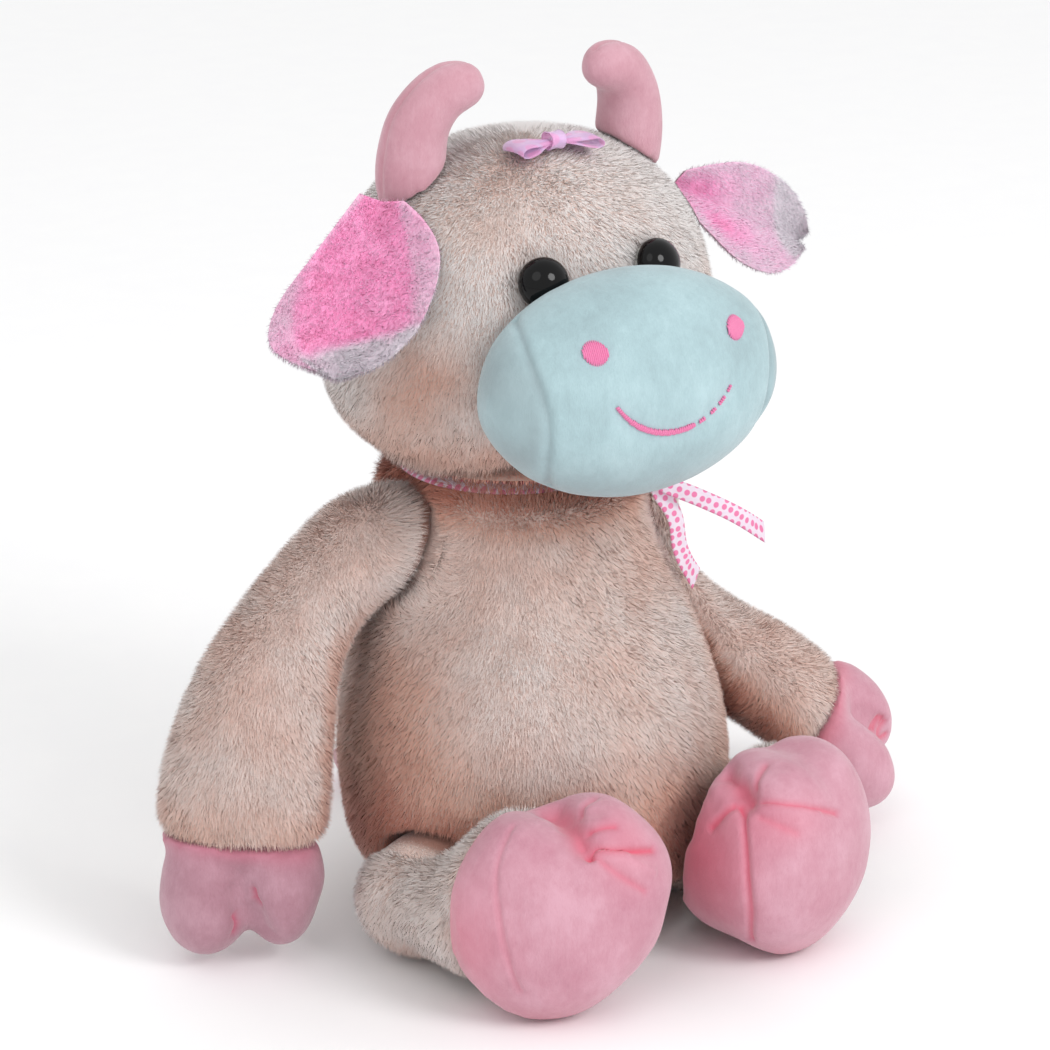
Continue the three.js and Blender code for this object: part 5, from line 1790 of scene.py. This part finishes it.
            # Painted shade on the side that faces the torso.
            inner = soft_step(-(normals @ side.place(1, 0, 0)), 0.1, 0.8)
            return value - 0.4 * inner - 0.12 * (1 - soft_step(points[:, 2], 0.05, 0.075))

        def nap(points: Array, normals: Array) -> Array:
            """Down the arm, and in over its root."""
            rooted = 1 - soft_step((points - place) @ axis, flank + 0.002, flank + 0.014)
            return -UP * (1 - rooted)[:, None] - axis * (1.5 * rooted)[:, None]

        Pile(seed=71 + side.value).coat(f"arm_{side.word}", sleeve, self.finishes.fur, "fur",
                                        f"arm_{side.word}", tone, cover, nap)


@dataclass(frozen=True)
class HoofSewing:
    """How one foot's cloth is sewn, in row-frame places, metres and shares of shade.

    Each line is its places, its depth, its width and its shade, painted in its seam or fold. Each bulge is
    its centre, its reach and its push, and each painted shade is its centre, its reach and its amount.
    """

    lines: tuple
    bulges: tuple
    painted_shades: tuple


RIGHT_HOOF = HoofSewing(
    lines=(
        (((-0.046, -0.08, 0.076), (-0.048, -0.096, 0.0745), (-0.0489, -0.1055, 0.07)), 0.0052, 0.0046, 0.5),
        (((-0.0489, -0.1065, 0.0693), (-0.038, -0.109, 0.066), (-0.024, -0.106, 0.061)),
         0.0022, 0.0017, 0.75),
        (((-0.048, -0.107, 0.068), (-0.04, -0.113, 0.06), (-0.0298, -0.1157, 0.052)), 0.0013, 0.0018, 0.3),
        (((-0.047, -0.102, 0.073), (-0.036, -0.104, 0.072)), 0.0014, 0.0017, 0.5),
        (((-0.046, -0.092, 0.077), (-0.034, -0.09, 0.074)), 0.0012, 0.0019, 0.3),
        (((-0.045, -0.107, 0.0655), (-0.034, -0.1105, 0.0615), (-0.026, -0.111, 0.0565)), -0.0012, 0.002, 0),
        (((-0.066, -0.088, 0.074), (-0.0773, -0.0948, 0.0628), (-0.0793, -0.1011, 0.0422),
          (-0.074, -0.104, 0.018)), 0.0008, 0.0012, 0.12),
    ),
    bulges=(
        ((-0.022, -0.094, 0.055), (0.02, 0.03, 0.022), (0.007, 0, 0.002)),
        ((-0.032, -0.092, 0.08), (0.014, 0.02, 0.014), (0.001, 0, 0.003)),
        ((-0.03, -0.1, 0.006), (0.02, 0.03, 0.014), (-0.004, 0, 0.001)),
    ),
    # Painted shade: the outer side away from the light, by the notch and near the floor.
    painted_shades=(
        ((-0.09, -0.08, 0.03), (0.014, 0.03, 0.03), 0.4),
        ((-0.034, -0.103, 0.066), (0.012, 0.02, 0.012), 0.3),
        ((-0.06, -0.1, 0.0), (0.05, 0.05, 0.01), 0.25),
    ),
)
LEFT_HOOF = HoofSewing(
    lines=(
        (((0.024, -0.08, 0.073), (0.024, -0.09, 0.071), (0.0239, -0.0995, 0.0666)), 0.005, 0.0042, 0.5),
        (((0.0239, -0.0978, 0.0666), (0.0182, -0.1068, 0.0521), (0.0196, -0.1087, 0.0293),
          (0.022, -0.104, 0.01)), 0.0018, 0.0014, 0.5),
        (((0.0261, -0.1043, 0.0673), (0.04, -0.109, 0.064), (0.055, -0.111, 0.059)), 0.0017, 0.0016, 0.55),
        (((0.022, -0.096, 0.066), (0.0135, -0.09, 0.056)), 0.0014, 0.0017, 0.5),
        (((0.028, -0.098, 0.07), (0.036, -0.094, 0.074)), 0.0013, 0.0017, 0.4),
        (((0.026, -0.106, 0.062), (0.036, -0.111, 0.056)), 0.0009, 0.0018, 0.2),
        (((0.028, -0.105, 0.0635), (0.045, -0.111, 0.06)), -0.001, 0.002, 0),
    ),
    bulges=(
        ((0.05, -0.095, 0.07), (0.022, 0.03, 0.02), (0.001, 0, 0.002)),
        ((0.05, -0.1, 0.004), (0.03, 0.03, 0.012), (0, 0, 0)),
    ),
    # Painted shade: the inner side away from the light, by the notch and near the floor.
    painted_shades=(
        ((0.008, -0.085, 0.045), (0.013, 0.03, 0.034), 0.75),
        ((0.034, -0.103, 0.06), (0.014, 0.02, 0.008), 0.3),
        ((0.05, -0.1, 0.0), (0.05, 0.05, 0.01), 0.25),
    ),
)


@dataclass
class Legs:
    """Two short legs that point ahead and end in broad cleft hooves, soles to the front."""

    anatomy: Anatomy
    finishes: Finishes
    torso: Torso
    length: float = 0.093
    splay: float = math.radians(-3)
    foot_splay: float = math.radians(20)
    foot_width: float = 0.077
    foot_height: float = 0.083
    foot_centre: float = 0.041
    ankle: float = 0.045
    cleft_depth: float = 0.2
    cleft_spread: float = math.radians(17)
    swing: tuple = (-12.0, 4.0, 20.0)
    swell_room: float = 0.0008
    route: tuple = ((0, 0, 0), (0.33, 0, 0.3), (0.6, 0.07, 0.9), (0.64, 0.36, 1))
    shares: tuple = ((0, 1.02, 0.56), (0.25, 1.03, 0.62), (0.42, 1, 0.77), (0.55, 0.98, 0.92),
                     (0.7, 1, 1), (0.86, 1, 1), (1, 0.94, 0.96))

    def cleft(self, share: Array, angle: Array) -> Array:
        """1 - depth * step(share) * exp(-((angle - 90 degrees) / spread)^2): the notch on the hoof's top."""
        off = (angle - math.pi / 2) / self.cleft_spread
        return 1 - self.cleft_depth * soft_step(share, 0.5, 0.74) * np.exp(-off * off)

    def carried(self, side: Side) -> tuple:
        """The middle of a hip and the way that its leg points."""
        pointing = side.place(math.sin(self.splay), -math.cos(self.splay), 0)
        return side.place(*self.anatomy.hip), pointing

    def form(self, side: Side) -> StuffedForm:
        """One leg with its hoof as a stuffed form."""
        place, pointing = self.carried(side)
        sole = side.place(math.sin(self.foot_splay), -math.cos(self.foot_splay), 0)
        rise = UP * (self.foot_centre - self.anatomy.hip[2])
        places = [place + pointing * a * self.length + sole * b * self.length + rise * c
                  for a, b, c in self.route]
        return StuffedForm(Spline(np.array(places)), self.foot_width, self.foot_height, self.shares,
                           0.12, 0.3, 2.3, facing=UP, pinch=self.cleft)

    def build(self) -> None:
        """Makes both legs."""
        for side in Side:
            self.leg(side)

    def clear_belly(self, piece: bpy.types.Object, side: Side, margin: float) -> None:
        """Cuts a piece with the belly as it lies at the leg's lowest, middle and highest place."""
        belly = self.torso.form().shell(CLEARANCE + SOCKET_ROOM + margin, 60, 72)
        for degrees in self.swing:
            tool = turned_about(belly, side.place(*self.anatomy.hip), -OUTWARD, -degrees)
            shape_with(piece, tool, Operation.CUT)

    def leg(self, side: Side) -> None:
        """Makes one leg: its pile-covered thigh and its velour hoof."""
        place, pointing = self.carried(side)
        ankle = place + pointing * self.ankle
        thigh = self.form(side).shell(-PILE_ROOM, 80, 80).piece(f"leg_skin_{side.word}")
        self.clear_belly(thigh, side, 0)
        shape_with(thigh, self.anatomy.hip_ball(side, -SOCKET_ROOM), Operation.JOIN)
        shape_with(thigh, half_space(UP * 0.0006, UP), Operation.KEEP)
        shape_with(thigh, half_space(ankle + pointing * 0.001, pointing), Operation.CUT)
        fill_out(thigh, 0.0036, 0.0014, 1)
        hoof = self.form(side).shell(-VELOUR_ROOM - self.swell_room, 100, 110)
        hoof = hoof.piece(f"foot_hoof_skin_{side.word}")
        self.clear_belly(hoof, side, self.swell_room)
        shape_with(hoof, half_space(ankle + pointing * 0.0012, pointing), Operation.KEEP)
        fill_out(hoof, 0.0032, 0.0012, 2, 5)
        self.gather(hoof, side, ankle, pointing)
        keep_above(hoof, 0.0002)
        self.plant(thigh, side, ankle, pointing)
        body = f"leg_{side.word}"
        # Painted shade where the thigh lies under the belly.
        add_shade(thigh, 0.85 * soft_step(self.torso.under_surface(coordinates(thigh)), -0.003, 0.002))
        dress(thigh, self.finishes.fur_ground, "fur", body, f"leg_cover_{side.word}",
              f"leg_filling_{side.word}")
        dress(hoof, self.finishes.velour, "velour", body, f"foot_hoof_{side.word}")

    def gather(self, hoof: bpy.types.Object, side: Side, ankle: Array, pointing: Array) -> None:
        """Sews the hoof: its notch on top, the seams of its panels and the folds that fan from the notch,
        with painted shade in the seams, on the shaded side, near the floor and at the ankle.
        """
        sewing = RIGHT_HOOF if side is Side.RIGHT else LEFT_HOOF
        for centre, reach, push in sewing.bulges:
            points = coordinates(hoof)
            move_to(hoof, points + bump_at(points, centre, reach)[:, None] * np.array(push))
        for line, depth, width, shade in sewing.lines:
            crease(hoof, np.array(line), depth, width, shade)
        points = coordinates(hoof)
        # Painted shade on the side away from the light, by the notch and near the floor.
        for centre, reach, amount in sewing.painted_shades:
            add_shade(hoof, amount * bump_at(points, centre, reach))
        puckers = cloudy(points, 0.013, 81 + side.value) * 0.0007
        notch = np.array(sewing.lines[0][0]).mean(0)
        gathered = np.exp(-((np.linalg.norm(points - notch, axis=1) / 0.016) ** 2))
        puckers = puckers + gathered * cloudy(points, 0.0055, 83) * 0.0009
        near = soft_step(np.abs((points - ankle) @ pointing), 0.0, 0.01)
        push_out(hoof, puckers * near - 0.0006 * (1 - near))
        # Painted shade where the hoof meets the leg's pile at the ankle.
        add_shade(hoof, 0.35 * (1 - near))

    def plant(self, thigh: bpy.types.Object, side: Side, ankle: Array, pointing: Array) -> None:
        """Grows the thigh's pile: none on the hip that turns in the torso, short where it meets the belly."""
        place = side.place(*self.anatomy.hip)

        def cover(points: Array, normals: Array) -> Array:
            """None deep in the socket or at the ankle's cut, short where the raised leg meets the belly."""
            under = self.torso.under_surface(points)
            room = np.where(under > 0.008, 0, 1 - 0.6 * soft_step(under, -0.002, 0.003))
            raised = turned_about(Shell(points, np.zeros((0, 4), int)), place, -OUTWARD, self.swing[-1])
            room = room * (1 - 0.65 * soft_step(self.torso.under_surface(raised.points), -0.004, -0.001))
            ending = (points - ankle) @ pointing
            return room * np.where((ending > -0.002) & (normals @ pointing > 0.8), 0, 1)

        def tone(points: Array, normals: Array) -> Array:
            """Cloudy, with painted shade near the floor."""
            value = 0.78 + 0.1 * cloudy(points, 0.01, 7) + 0.1 * cloudy(points, 0.024, 8)
            return value - 0.3 * (1 - soft_step(points[:, 2], 0.004, 0.02))

        Pile(seed=91 + side.value).coat(f"leg_{side.word}", thigh, self.finishes.fur, "fur",
                                        f"leg_{side.word}", tone, cover)


@dataclass
class Tail:
    """A thin plush cord behind, with a velour tuft on the floor."""

    anatomy: Anatomy
    finishes: Finishes
    torso: Torso
    length: float = 0.062
    diameter: float = 0.009
    tuft_length: float = 0.034
    tuft_diameter: float = 0.02
    route: tuple = ((0, -0.1, 0.02), (0, 0.2, 0), (-0.02, 0.42, -0.16), (-0.05, 0.52, -0.4),
                    (-0.08, 0.6, -0.6))
    tuft_route: tuple = ((0, -0.06, 0.1), (-0.1, 0.4, -0.02), (-0.2, 0.85, -0.04))
    tuft_shares: tuple = ((0, 0.7, 0.7), (0.4, 1, 1), (0.75, 0.7, 0.7), (1, 0.3, 0.3))

    def build(self) -> None:
        """Makes the tail and its tuft."""
        base = np.array(self.anatomy.tail)
        spine = Spline(np.array([base + np.array(p) * self.length for p in self.route]))
        end = spine.at(1.0)[0]
        cord = StuffedForm(spine, self.diameter, self.diameter, ((0, 1, 1), (1, 0.9, 0.9)), 0.05, 0.08,
                           facing=OUTWARD)
        skin = cord.shell(-0.0018, 60, 24).piece("tail_skin")
        tuft_spine = Spline(np.array([end + np.array(p) * self.tuft_length for p in self.tuft_route]))
        tuft = StuffedForm(tuft_spine, self.tuft_diameter, self.tuft_diameter, self.tuft_shares, 0.3, 0.4,
                           facing=UP)
        for tool in (self.torso.form().shell(-0.003, 60, 72), tuft.shell(-0.0006, 40, 40)):
            shape_with(skin, tool, Operation.CUT)

        def tone(points: Array, normals: Array) -> Array:
            """Fairly pale and cloudy."""
            return 0.7 + 0.15 * cloudy(points, 0.008, 9)

        pile = Pile(length=0.0026, width=0.0005, seed=95).grow("tail_pile", skin, tone)
        dress(pile, self.finishes.fur, "fur", "tail")
        dress(skin, self.finishes.fur_ground, "fur", "tail", "tail")
        end_piece = tuft.shell(-VELOUR_ROOM, 60, 40).piece("tail_tuft_skin")
        shape_with(end_piece, self.torso.form().shell(CLEARANCE, 60, 72), Operation.CUT)
        push_out(end_piece, cloudy(coordinates(end_piece) * np.array([1, 0.35, 1]), 0.0045, 96) * 0.0005)
        keep_above(end_piece, 0.0006)
        dress(end_piece, self.finishes.horn_velour, "velour", "tail", "tail_tuft")


@dataclass
class Ribbons:
    """The dotted ribbon round the neck with its knot and loose ends, and the small bow on the crown."""

    anatomy: Anatomy
    finishes: Finishes
    torso: Torso
    head: Head
    width: float = 0.0065
    thickness: float = 0.0006
    band_width: float = 0.0035
    band_height: float = 0.167
    band_sink: float = 0.0024
    knot_radius: float = 0.005
    knot_height: float = 0.008
    knot_aside: float = 0.033
    knot_ahead: float = 0.03
    end_length: float = 0.062
    end_slant: float = 0.8
    front: tuple = ((0.06, -0.04, -0.08), (0.32, -0.14, -0.2), (0.6, -0.2, -0.36), (0.82, -0.24, -0.52))
    side: tuple = ((0.1, -0.02, -0.1), (0.24, -0.06, -0.32), (0.3, -0.06, -0.56), (0.42, -0.08, -0.8))
    bow_ahead: float = 0.023
    bow_sink: float = 0.0015
    loop_length: float = 0.017
    loop_width: float = 0.014
    loop_rise: float = 0.0046
    bow_ring: float = 0.0055
    ring_width: float = 0.0056
    bow_thickness: float = 0.00025
    least_flat: float = 0.01

    def knot_place(self) -> Array:
        """The middle of the neck ribbon's knot."""
        return np.array([self.knot_aside, self.anatomy.neck[1] - self.knot_ahead,
                         self.band_height - self.band_width / 2])

    def build(self) -> None:
        """Makes the band, the knot, both ends and the bow."""
        self.band()
        self.knot()
        for name, shares, seed in (("front", self.front, 3), ("side", self.side, 4)):
            self.loose_end(name, shares, seed)
        self.bow()

    def band(self) -> None:
        """The band: the torso's own ring at the band's height, sunk in the pile and closed into a hoop."""
        rows, count = 5, 180
        ring = self.torso.form().shell(-self.band_sink, 220, count)
        rings = ring.points[1:-1].reshape(-1, count, 3)
        heights = rings[:, :, 2].mean(1)
        wanted = np.linspace(self.band_height, self.band_height + self.band_width, rows)
        hoop = np.stack([
            np.stack([np.interp(wanted, heights, rings[:, k, axis]) for k in range(count)], -1)
            for axis in range(3)
        ], -1)
        hoop = np.concatenate([hoop, hoop[:, :1]], 1).transpose(1, 0, 2)
        length = length_of(hoop)
        band = self.woven("neck_ribbon_band", hoop, self.band_width, length, self.thickness * 0.8)
        dress(band, self.finishes.ribbon, "ribbon", "torso", "neck_ribbon")

    def woven(self, name: str, points: Array, width: float, length: float,
              thickness: float) -> bpy.types.Object:
        """A strip with its weave map and its cloth's thickness on both sides of its middle.

        Args:
            name: The piece's name.
            points: Its middle surface: rows along the ribbon by columns across it.
            width: Its width for the weave map.
            length: Its length for the weave map.
            thickness: Its thickness.

        Returns:
            The strip.
        """
        strip = open_grid(points).piece(name)
        strip_uv(strip, *points.shape[:2], width, length)
        solid = strip.modifiers.new("cloth", "SOLIDIFY")
        solid.thickness = thickness
        solid.offset = 0
        settle_modifiers(strip)
        return strip

    def knot(self) -> None:
        """The knot: an upright round form wound with three diagonal folds."""
        place = self.knot_place()
        form = round_form(place, self.knot_height, 2 * self.knot_radius, self.knot_height, UP)
        shell = form.shell(-0.0004, 48, 64)
        arm = shell.points - place
        turn = np.arctan2(arm[:, 1], arm[:, 0])
        folds = np.abs(np.sin(1.5 * turn + arm[:, 2] * 700))
        shell.points = place + arm * (0.9 + 0.1 * folds)[:, None]
        piece = shell.piece("neck_ribbon_knot_cloth")
        shape_with(piece, self.torso.form().shell(CLEARANCE, 90, 96), Operation.CUT)
        tube_uv(piece, place, self.knot_radius)
        dress(piece, self.finishes.ribbon, "ribbon", "torso", "neck_ribbon_knot")

    def loose_end(self, name: str, shares: tuple, seed: int) -> None:
        """A loose end: a strip along a curve, its middle lifted a little and its tip cut on the slant."""
        spine = Spline(np.array([self.knot_place() + np.array(p) * self.end_length for p in shares]))
        share = np.linspace(0, 1, 60)
        along = spine.along(share)
        across = unit(np.cross(AHEAD, along))
        out = np.cross(along, across)
        aside = np.linspace(-1, 1, 9)
        slant = self.end_slant * self.width * soft_step(share, 0.7, 1.0)
        neck = 0.55 + 0.45 * soft_step(share, 0, 0.2)
        wave = 0.0004 * np.sin(share * 9 + seed)
        points = (spine.at(share)[:, None] - along[:, None] * (slant[:, None] * (aside + 1) / 2)[..., None]
                  + across[:, None] * (neck[:, None] * aside * self.width / 2)[..., None]
                  + out[:, None] * (wave[:, None] + 0.0003 * (1 - aside**2))[..., None])
        strip = self.woven(f"neck_ribbon_end_{name}_cloth", points, self.width, spine.length,
                           self.thickness * 0.6)
        dress(strip, self.finishes.ribbon, "ribbon", "torso", f"neck_ribbon_end_{name}")

    def bow(self) -> None:
        """The bow on the crown: two loops, which stand for one node together, and the ring round them."""
        rise = self.head.height / 2 - self.bow_sink
        place = np.array(self.anatomy.head) + np.array([0, -self.bow_ahead, rise])
        for side, nodes in ((Side.RIGHT, ("head_bow_loops",)), (Side.LEFT, ())):
            dress(self.bow_loop(side, place), self.finishes.organza, "organza", "head", *nodes)
        self.bow_band(place)

    def bow_loop(self, side: Side, place: Array) -> bpy.types.Object:
        """A loop of thin ribbon that leaves the ring, turns and comes back.

        Along its length it goes out by sin(pi t)^0.8 and up by sin(2 pi t) * sin(pi t)^0.3, with
        small pleats by the ring, and its end droops with the square of the way out.

        Args:
            side: Which loop.
            place: The middle of the bow.

        Returns:
            The loop.
        """
        turn, aside = np.linspace(0, 1, 64), np.linspace(-1, 1, 13)
        out = 0.0016 + (self.loop_length - 0.0018) * np.sin(np.pi * turn) ** 0.8
        rise = (self.loop_rise / 2 - 0.0004) * np.sin(2 * np.pi * turn) * np.sin(np.pi * turn) ** 0.3
        share = out / self.loop_length
        spread = 0.32 + 0.68 * soft_step(share, 0.1, 0.7)
        pleat = 0.0004 * np.cos(aside * 9) * (1 - soft_step(share, 0.3, 0.8))[:, None]
        droop = -self.bow_sink * share**2
        x = side.value * out[:, None] * np.ones(len(aside))
        y = aside * (spread * self.loop_width / 2 * 0.96)[:, None]
        z = (rise + droop)[:, None] + pleat - 0.0006 * aside**2
        points = place + np.stack([x, y, z], -1)
        length = length_of(points)
        strip = self.woven(f"bow_loop_{side.word}", points, self.loop_width, length, self.bow_thickness)
        return strip

    def bow_band(self, place: Array) -> None:
        """The ring that gathers the loops: an oval hoop, waved by sin(3 angle) and flared at its edges."""
        angle, across = np.linspace(0, 2 * np.pi, 72), np.linspace(-1, 1, 9)
        radius = (self.bow_ring * 0.62) + 0.0005 * across**2
        swell = (1 + 0.05 * np.sin(angle * 3))[:, None]
        x = np.ones(len(angle))[:, None] * across * self.ring_width / 2
        ring = place + np.stack([x, 0.95 * swell * radius * np.cos(angle)[:, None],
                                 0.8 * swell * radius * np.sin(angle)[:, None]], -1)
        length = length_of(ring)
        band = self.woven("bow_ring", ring, self.ring_width, length, 0.0004)
        dress(band, self.finishes.organza, "organza", "head", "head_bow_knot")


def length_of(points: Array) -> float:
    """The length of a sheet's middle column, through rows by columns of points."""
    line = points[:, points.shape[1] // 2]
    return float(np.linalg.norm(np.diff(line, axis=0), axis=1).sum())


def tube_uv(piece: bpy.types.Object, place: Array, radius: float) -> None:
    """Lays a weave map round an upright piece: its turn times its radius, and its height, in metres."""
    arm = (coordinates(piece) - place)[corners_of(piece)]
    lay_map(piece, "weave", np.stack([np.arctan2(arm[:, 1], arm[:, 0]) * radius, arm[:, 2]], -1))


@dataclass
class Studio:
    """The camera at the photograph's angle, a pale floor and backdrop, and soft plain light."""

    azimuth: float = math.radians(-32.34)
    elevation: float = math.radians(19.65)
    distance: float = 1.35
    target: tuple = (0.00262, 0.013, 0.14021)
    lens: float = 126.12
    plain_light: float = 0.9

    def build(self) -> None:
        """Makes the camera, the lights, the floor and the background."""
        back = np.array([math.sin(self.azimuth) * math.cos(self.elevation),
                         -math.cos(self.azimuth) * math.cos(self.elevation), math.sin(self.elevation)])
        camera = bpy.data.objects.new("camera", bpy.data.cameras.new("camera"))
        camera.data.lens = self.lens
        camera.data.sensor_width = 36
        camera.data.clip_end = 50
        camera.location = Vector(np.array(self.target) + back * self.distance)
        camera.rotation_euler = Vector(-back).to_track_quat("-Z", "Y").to_euler()
        bpy.context.scene.collection.objects.link(camera)
        bpy.context.scene.camera = camera
        self.lamp("key", (0.5, -1.75, 1.45), 0.9, 18)
        self.lamp("fill", (-1.2, -0.9, 1.6), 1.2, 4)
        self.floor()
        self.background()
        bpy.context.scene.view_settings.view_transform = "Standard"

    def lamp(self, name: str, place: tuple, size: float, power: float) -> None:
        """A round soft lamp that looks at the cow."""
        light = bpy.data.lights.new(name, "AREA")
        light.shape = "DISK"
        light.size = size
        light.energy = power
        lamp = bpy.data.objects.new(name, light)
        lamp.location = place
        lamp.rotation_euler = (Vector((0, 0, 0.13)) - Vector(place)).to_track_quat("-Z", "Y").to_euler()
        bpy.context.scene.collection.objects.link(lamp)

    def floor(self) -> None:
        """A wide pale floor that keeps the shadow."""
        across = np.linspace(-8, 8, 9)
        grid = np.stack([*np.meshgrid(across, across, indexing="xy"), np.zeros((9, 9))], -1)
        floor = open_grid(grid).piece("floor")
        n = Nodes("pale_floor")
        cloud = n.noise(n.add("TexCoord").outputs["Object"], 40, 2)
        colour = n.mix(cloud, linear((250, 250, 251)), linear((253, 253, 253)))
        floor.data.materials.append(n.surface(Base_Color=colour, Roughness=0.9, Specular_IOR_Level=0.1))

    def background(self) -> None:
        """A white background for what the camera, gloss and glass see, and plain light for the rest."""
        world = bpy.data.worlds.new("studio")
        bpy.context.scene.world = world
        world.use_nodes = True
        tree = world.node_tree
        path = tree.nodes.new("ShaderNodeLightPath")
        white = path.outputs["Is Camera Ray"]
        for kind in ("Is Transmission Ray", "Is Glossy Ray"):
            either = tree.nodes.new("ShaderNodeMath")
            either.operation = "MAXIMUM"
            tree.links.new(white, either.inputs[0])
            tree.links.new(path.outputs[kind], either.inputs[1])
            white = either.outputs[0]
        strength = tree.nodes.new("ShaderNodeMapRange")
        tree.links.new(white, strength.inputs[0])
        strength.inputs[3].default_value = self.plain_light
        strength.inputs[4].default_value = 1.0
        shade = tree.nodes["Background"]
        shade.inputs[0].default_value = (1, 1, 1, 1)
        tree.links.new(strength.outputs[0], shade.inputs[1])


def main() -> None:
    """Builds the cow's sub-assemblies in order and reports each piece."""
    logging.basicConfig(level=logging.INFO, format="%(name)s: %(message)s")
    anatomy, finishes = Anatomy(), Finishes()
    Studio().build()
    torso = Torso(anatomy, finishes)
    torso.build()
    Neck(anatomy, finishes).build()
    head = Head(anatomy, finishes)
    muzzle = Muzzle(anatomy, finishes, head)
    eyes = Eyes(finishes, head)
    head.build(muzzle, eyes)
    muzzle.build()
    eyes.build()
    Horns(anatomy, finishes, head).build()
    Ears(anatomy, finishes, head).build()
    Arms(anatomy, finishes).build()
    Legs(anatomy, finishes, torso).build()
    Tail(anatomy, finishes, torso).build()
    Ribbons(anatomy, finishes, torso, head).build()


if __name__ == "__main__":
    main()
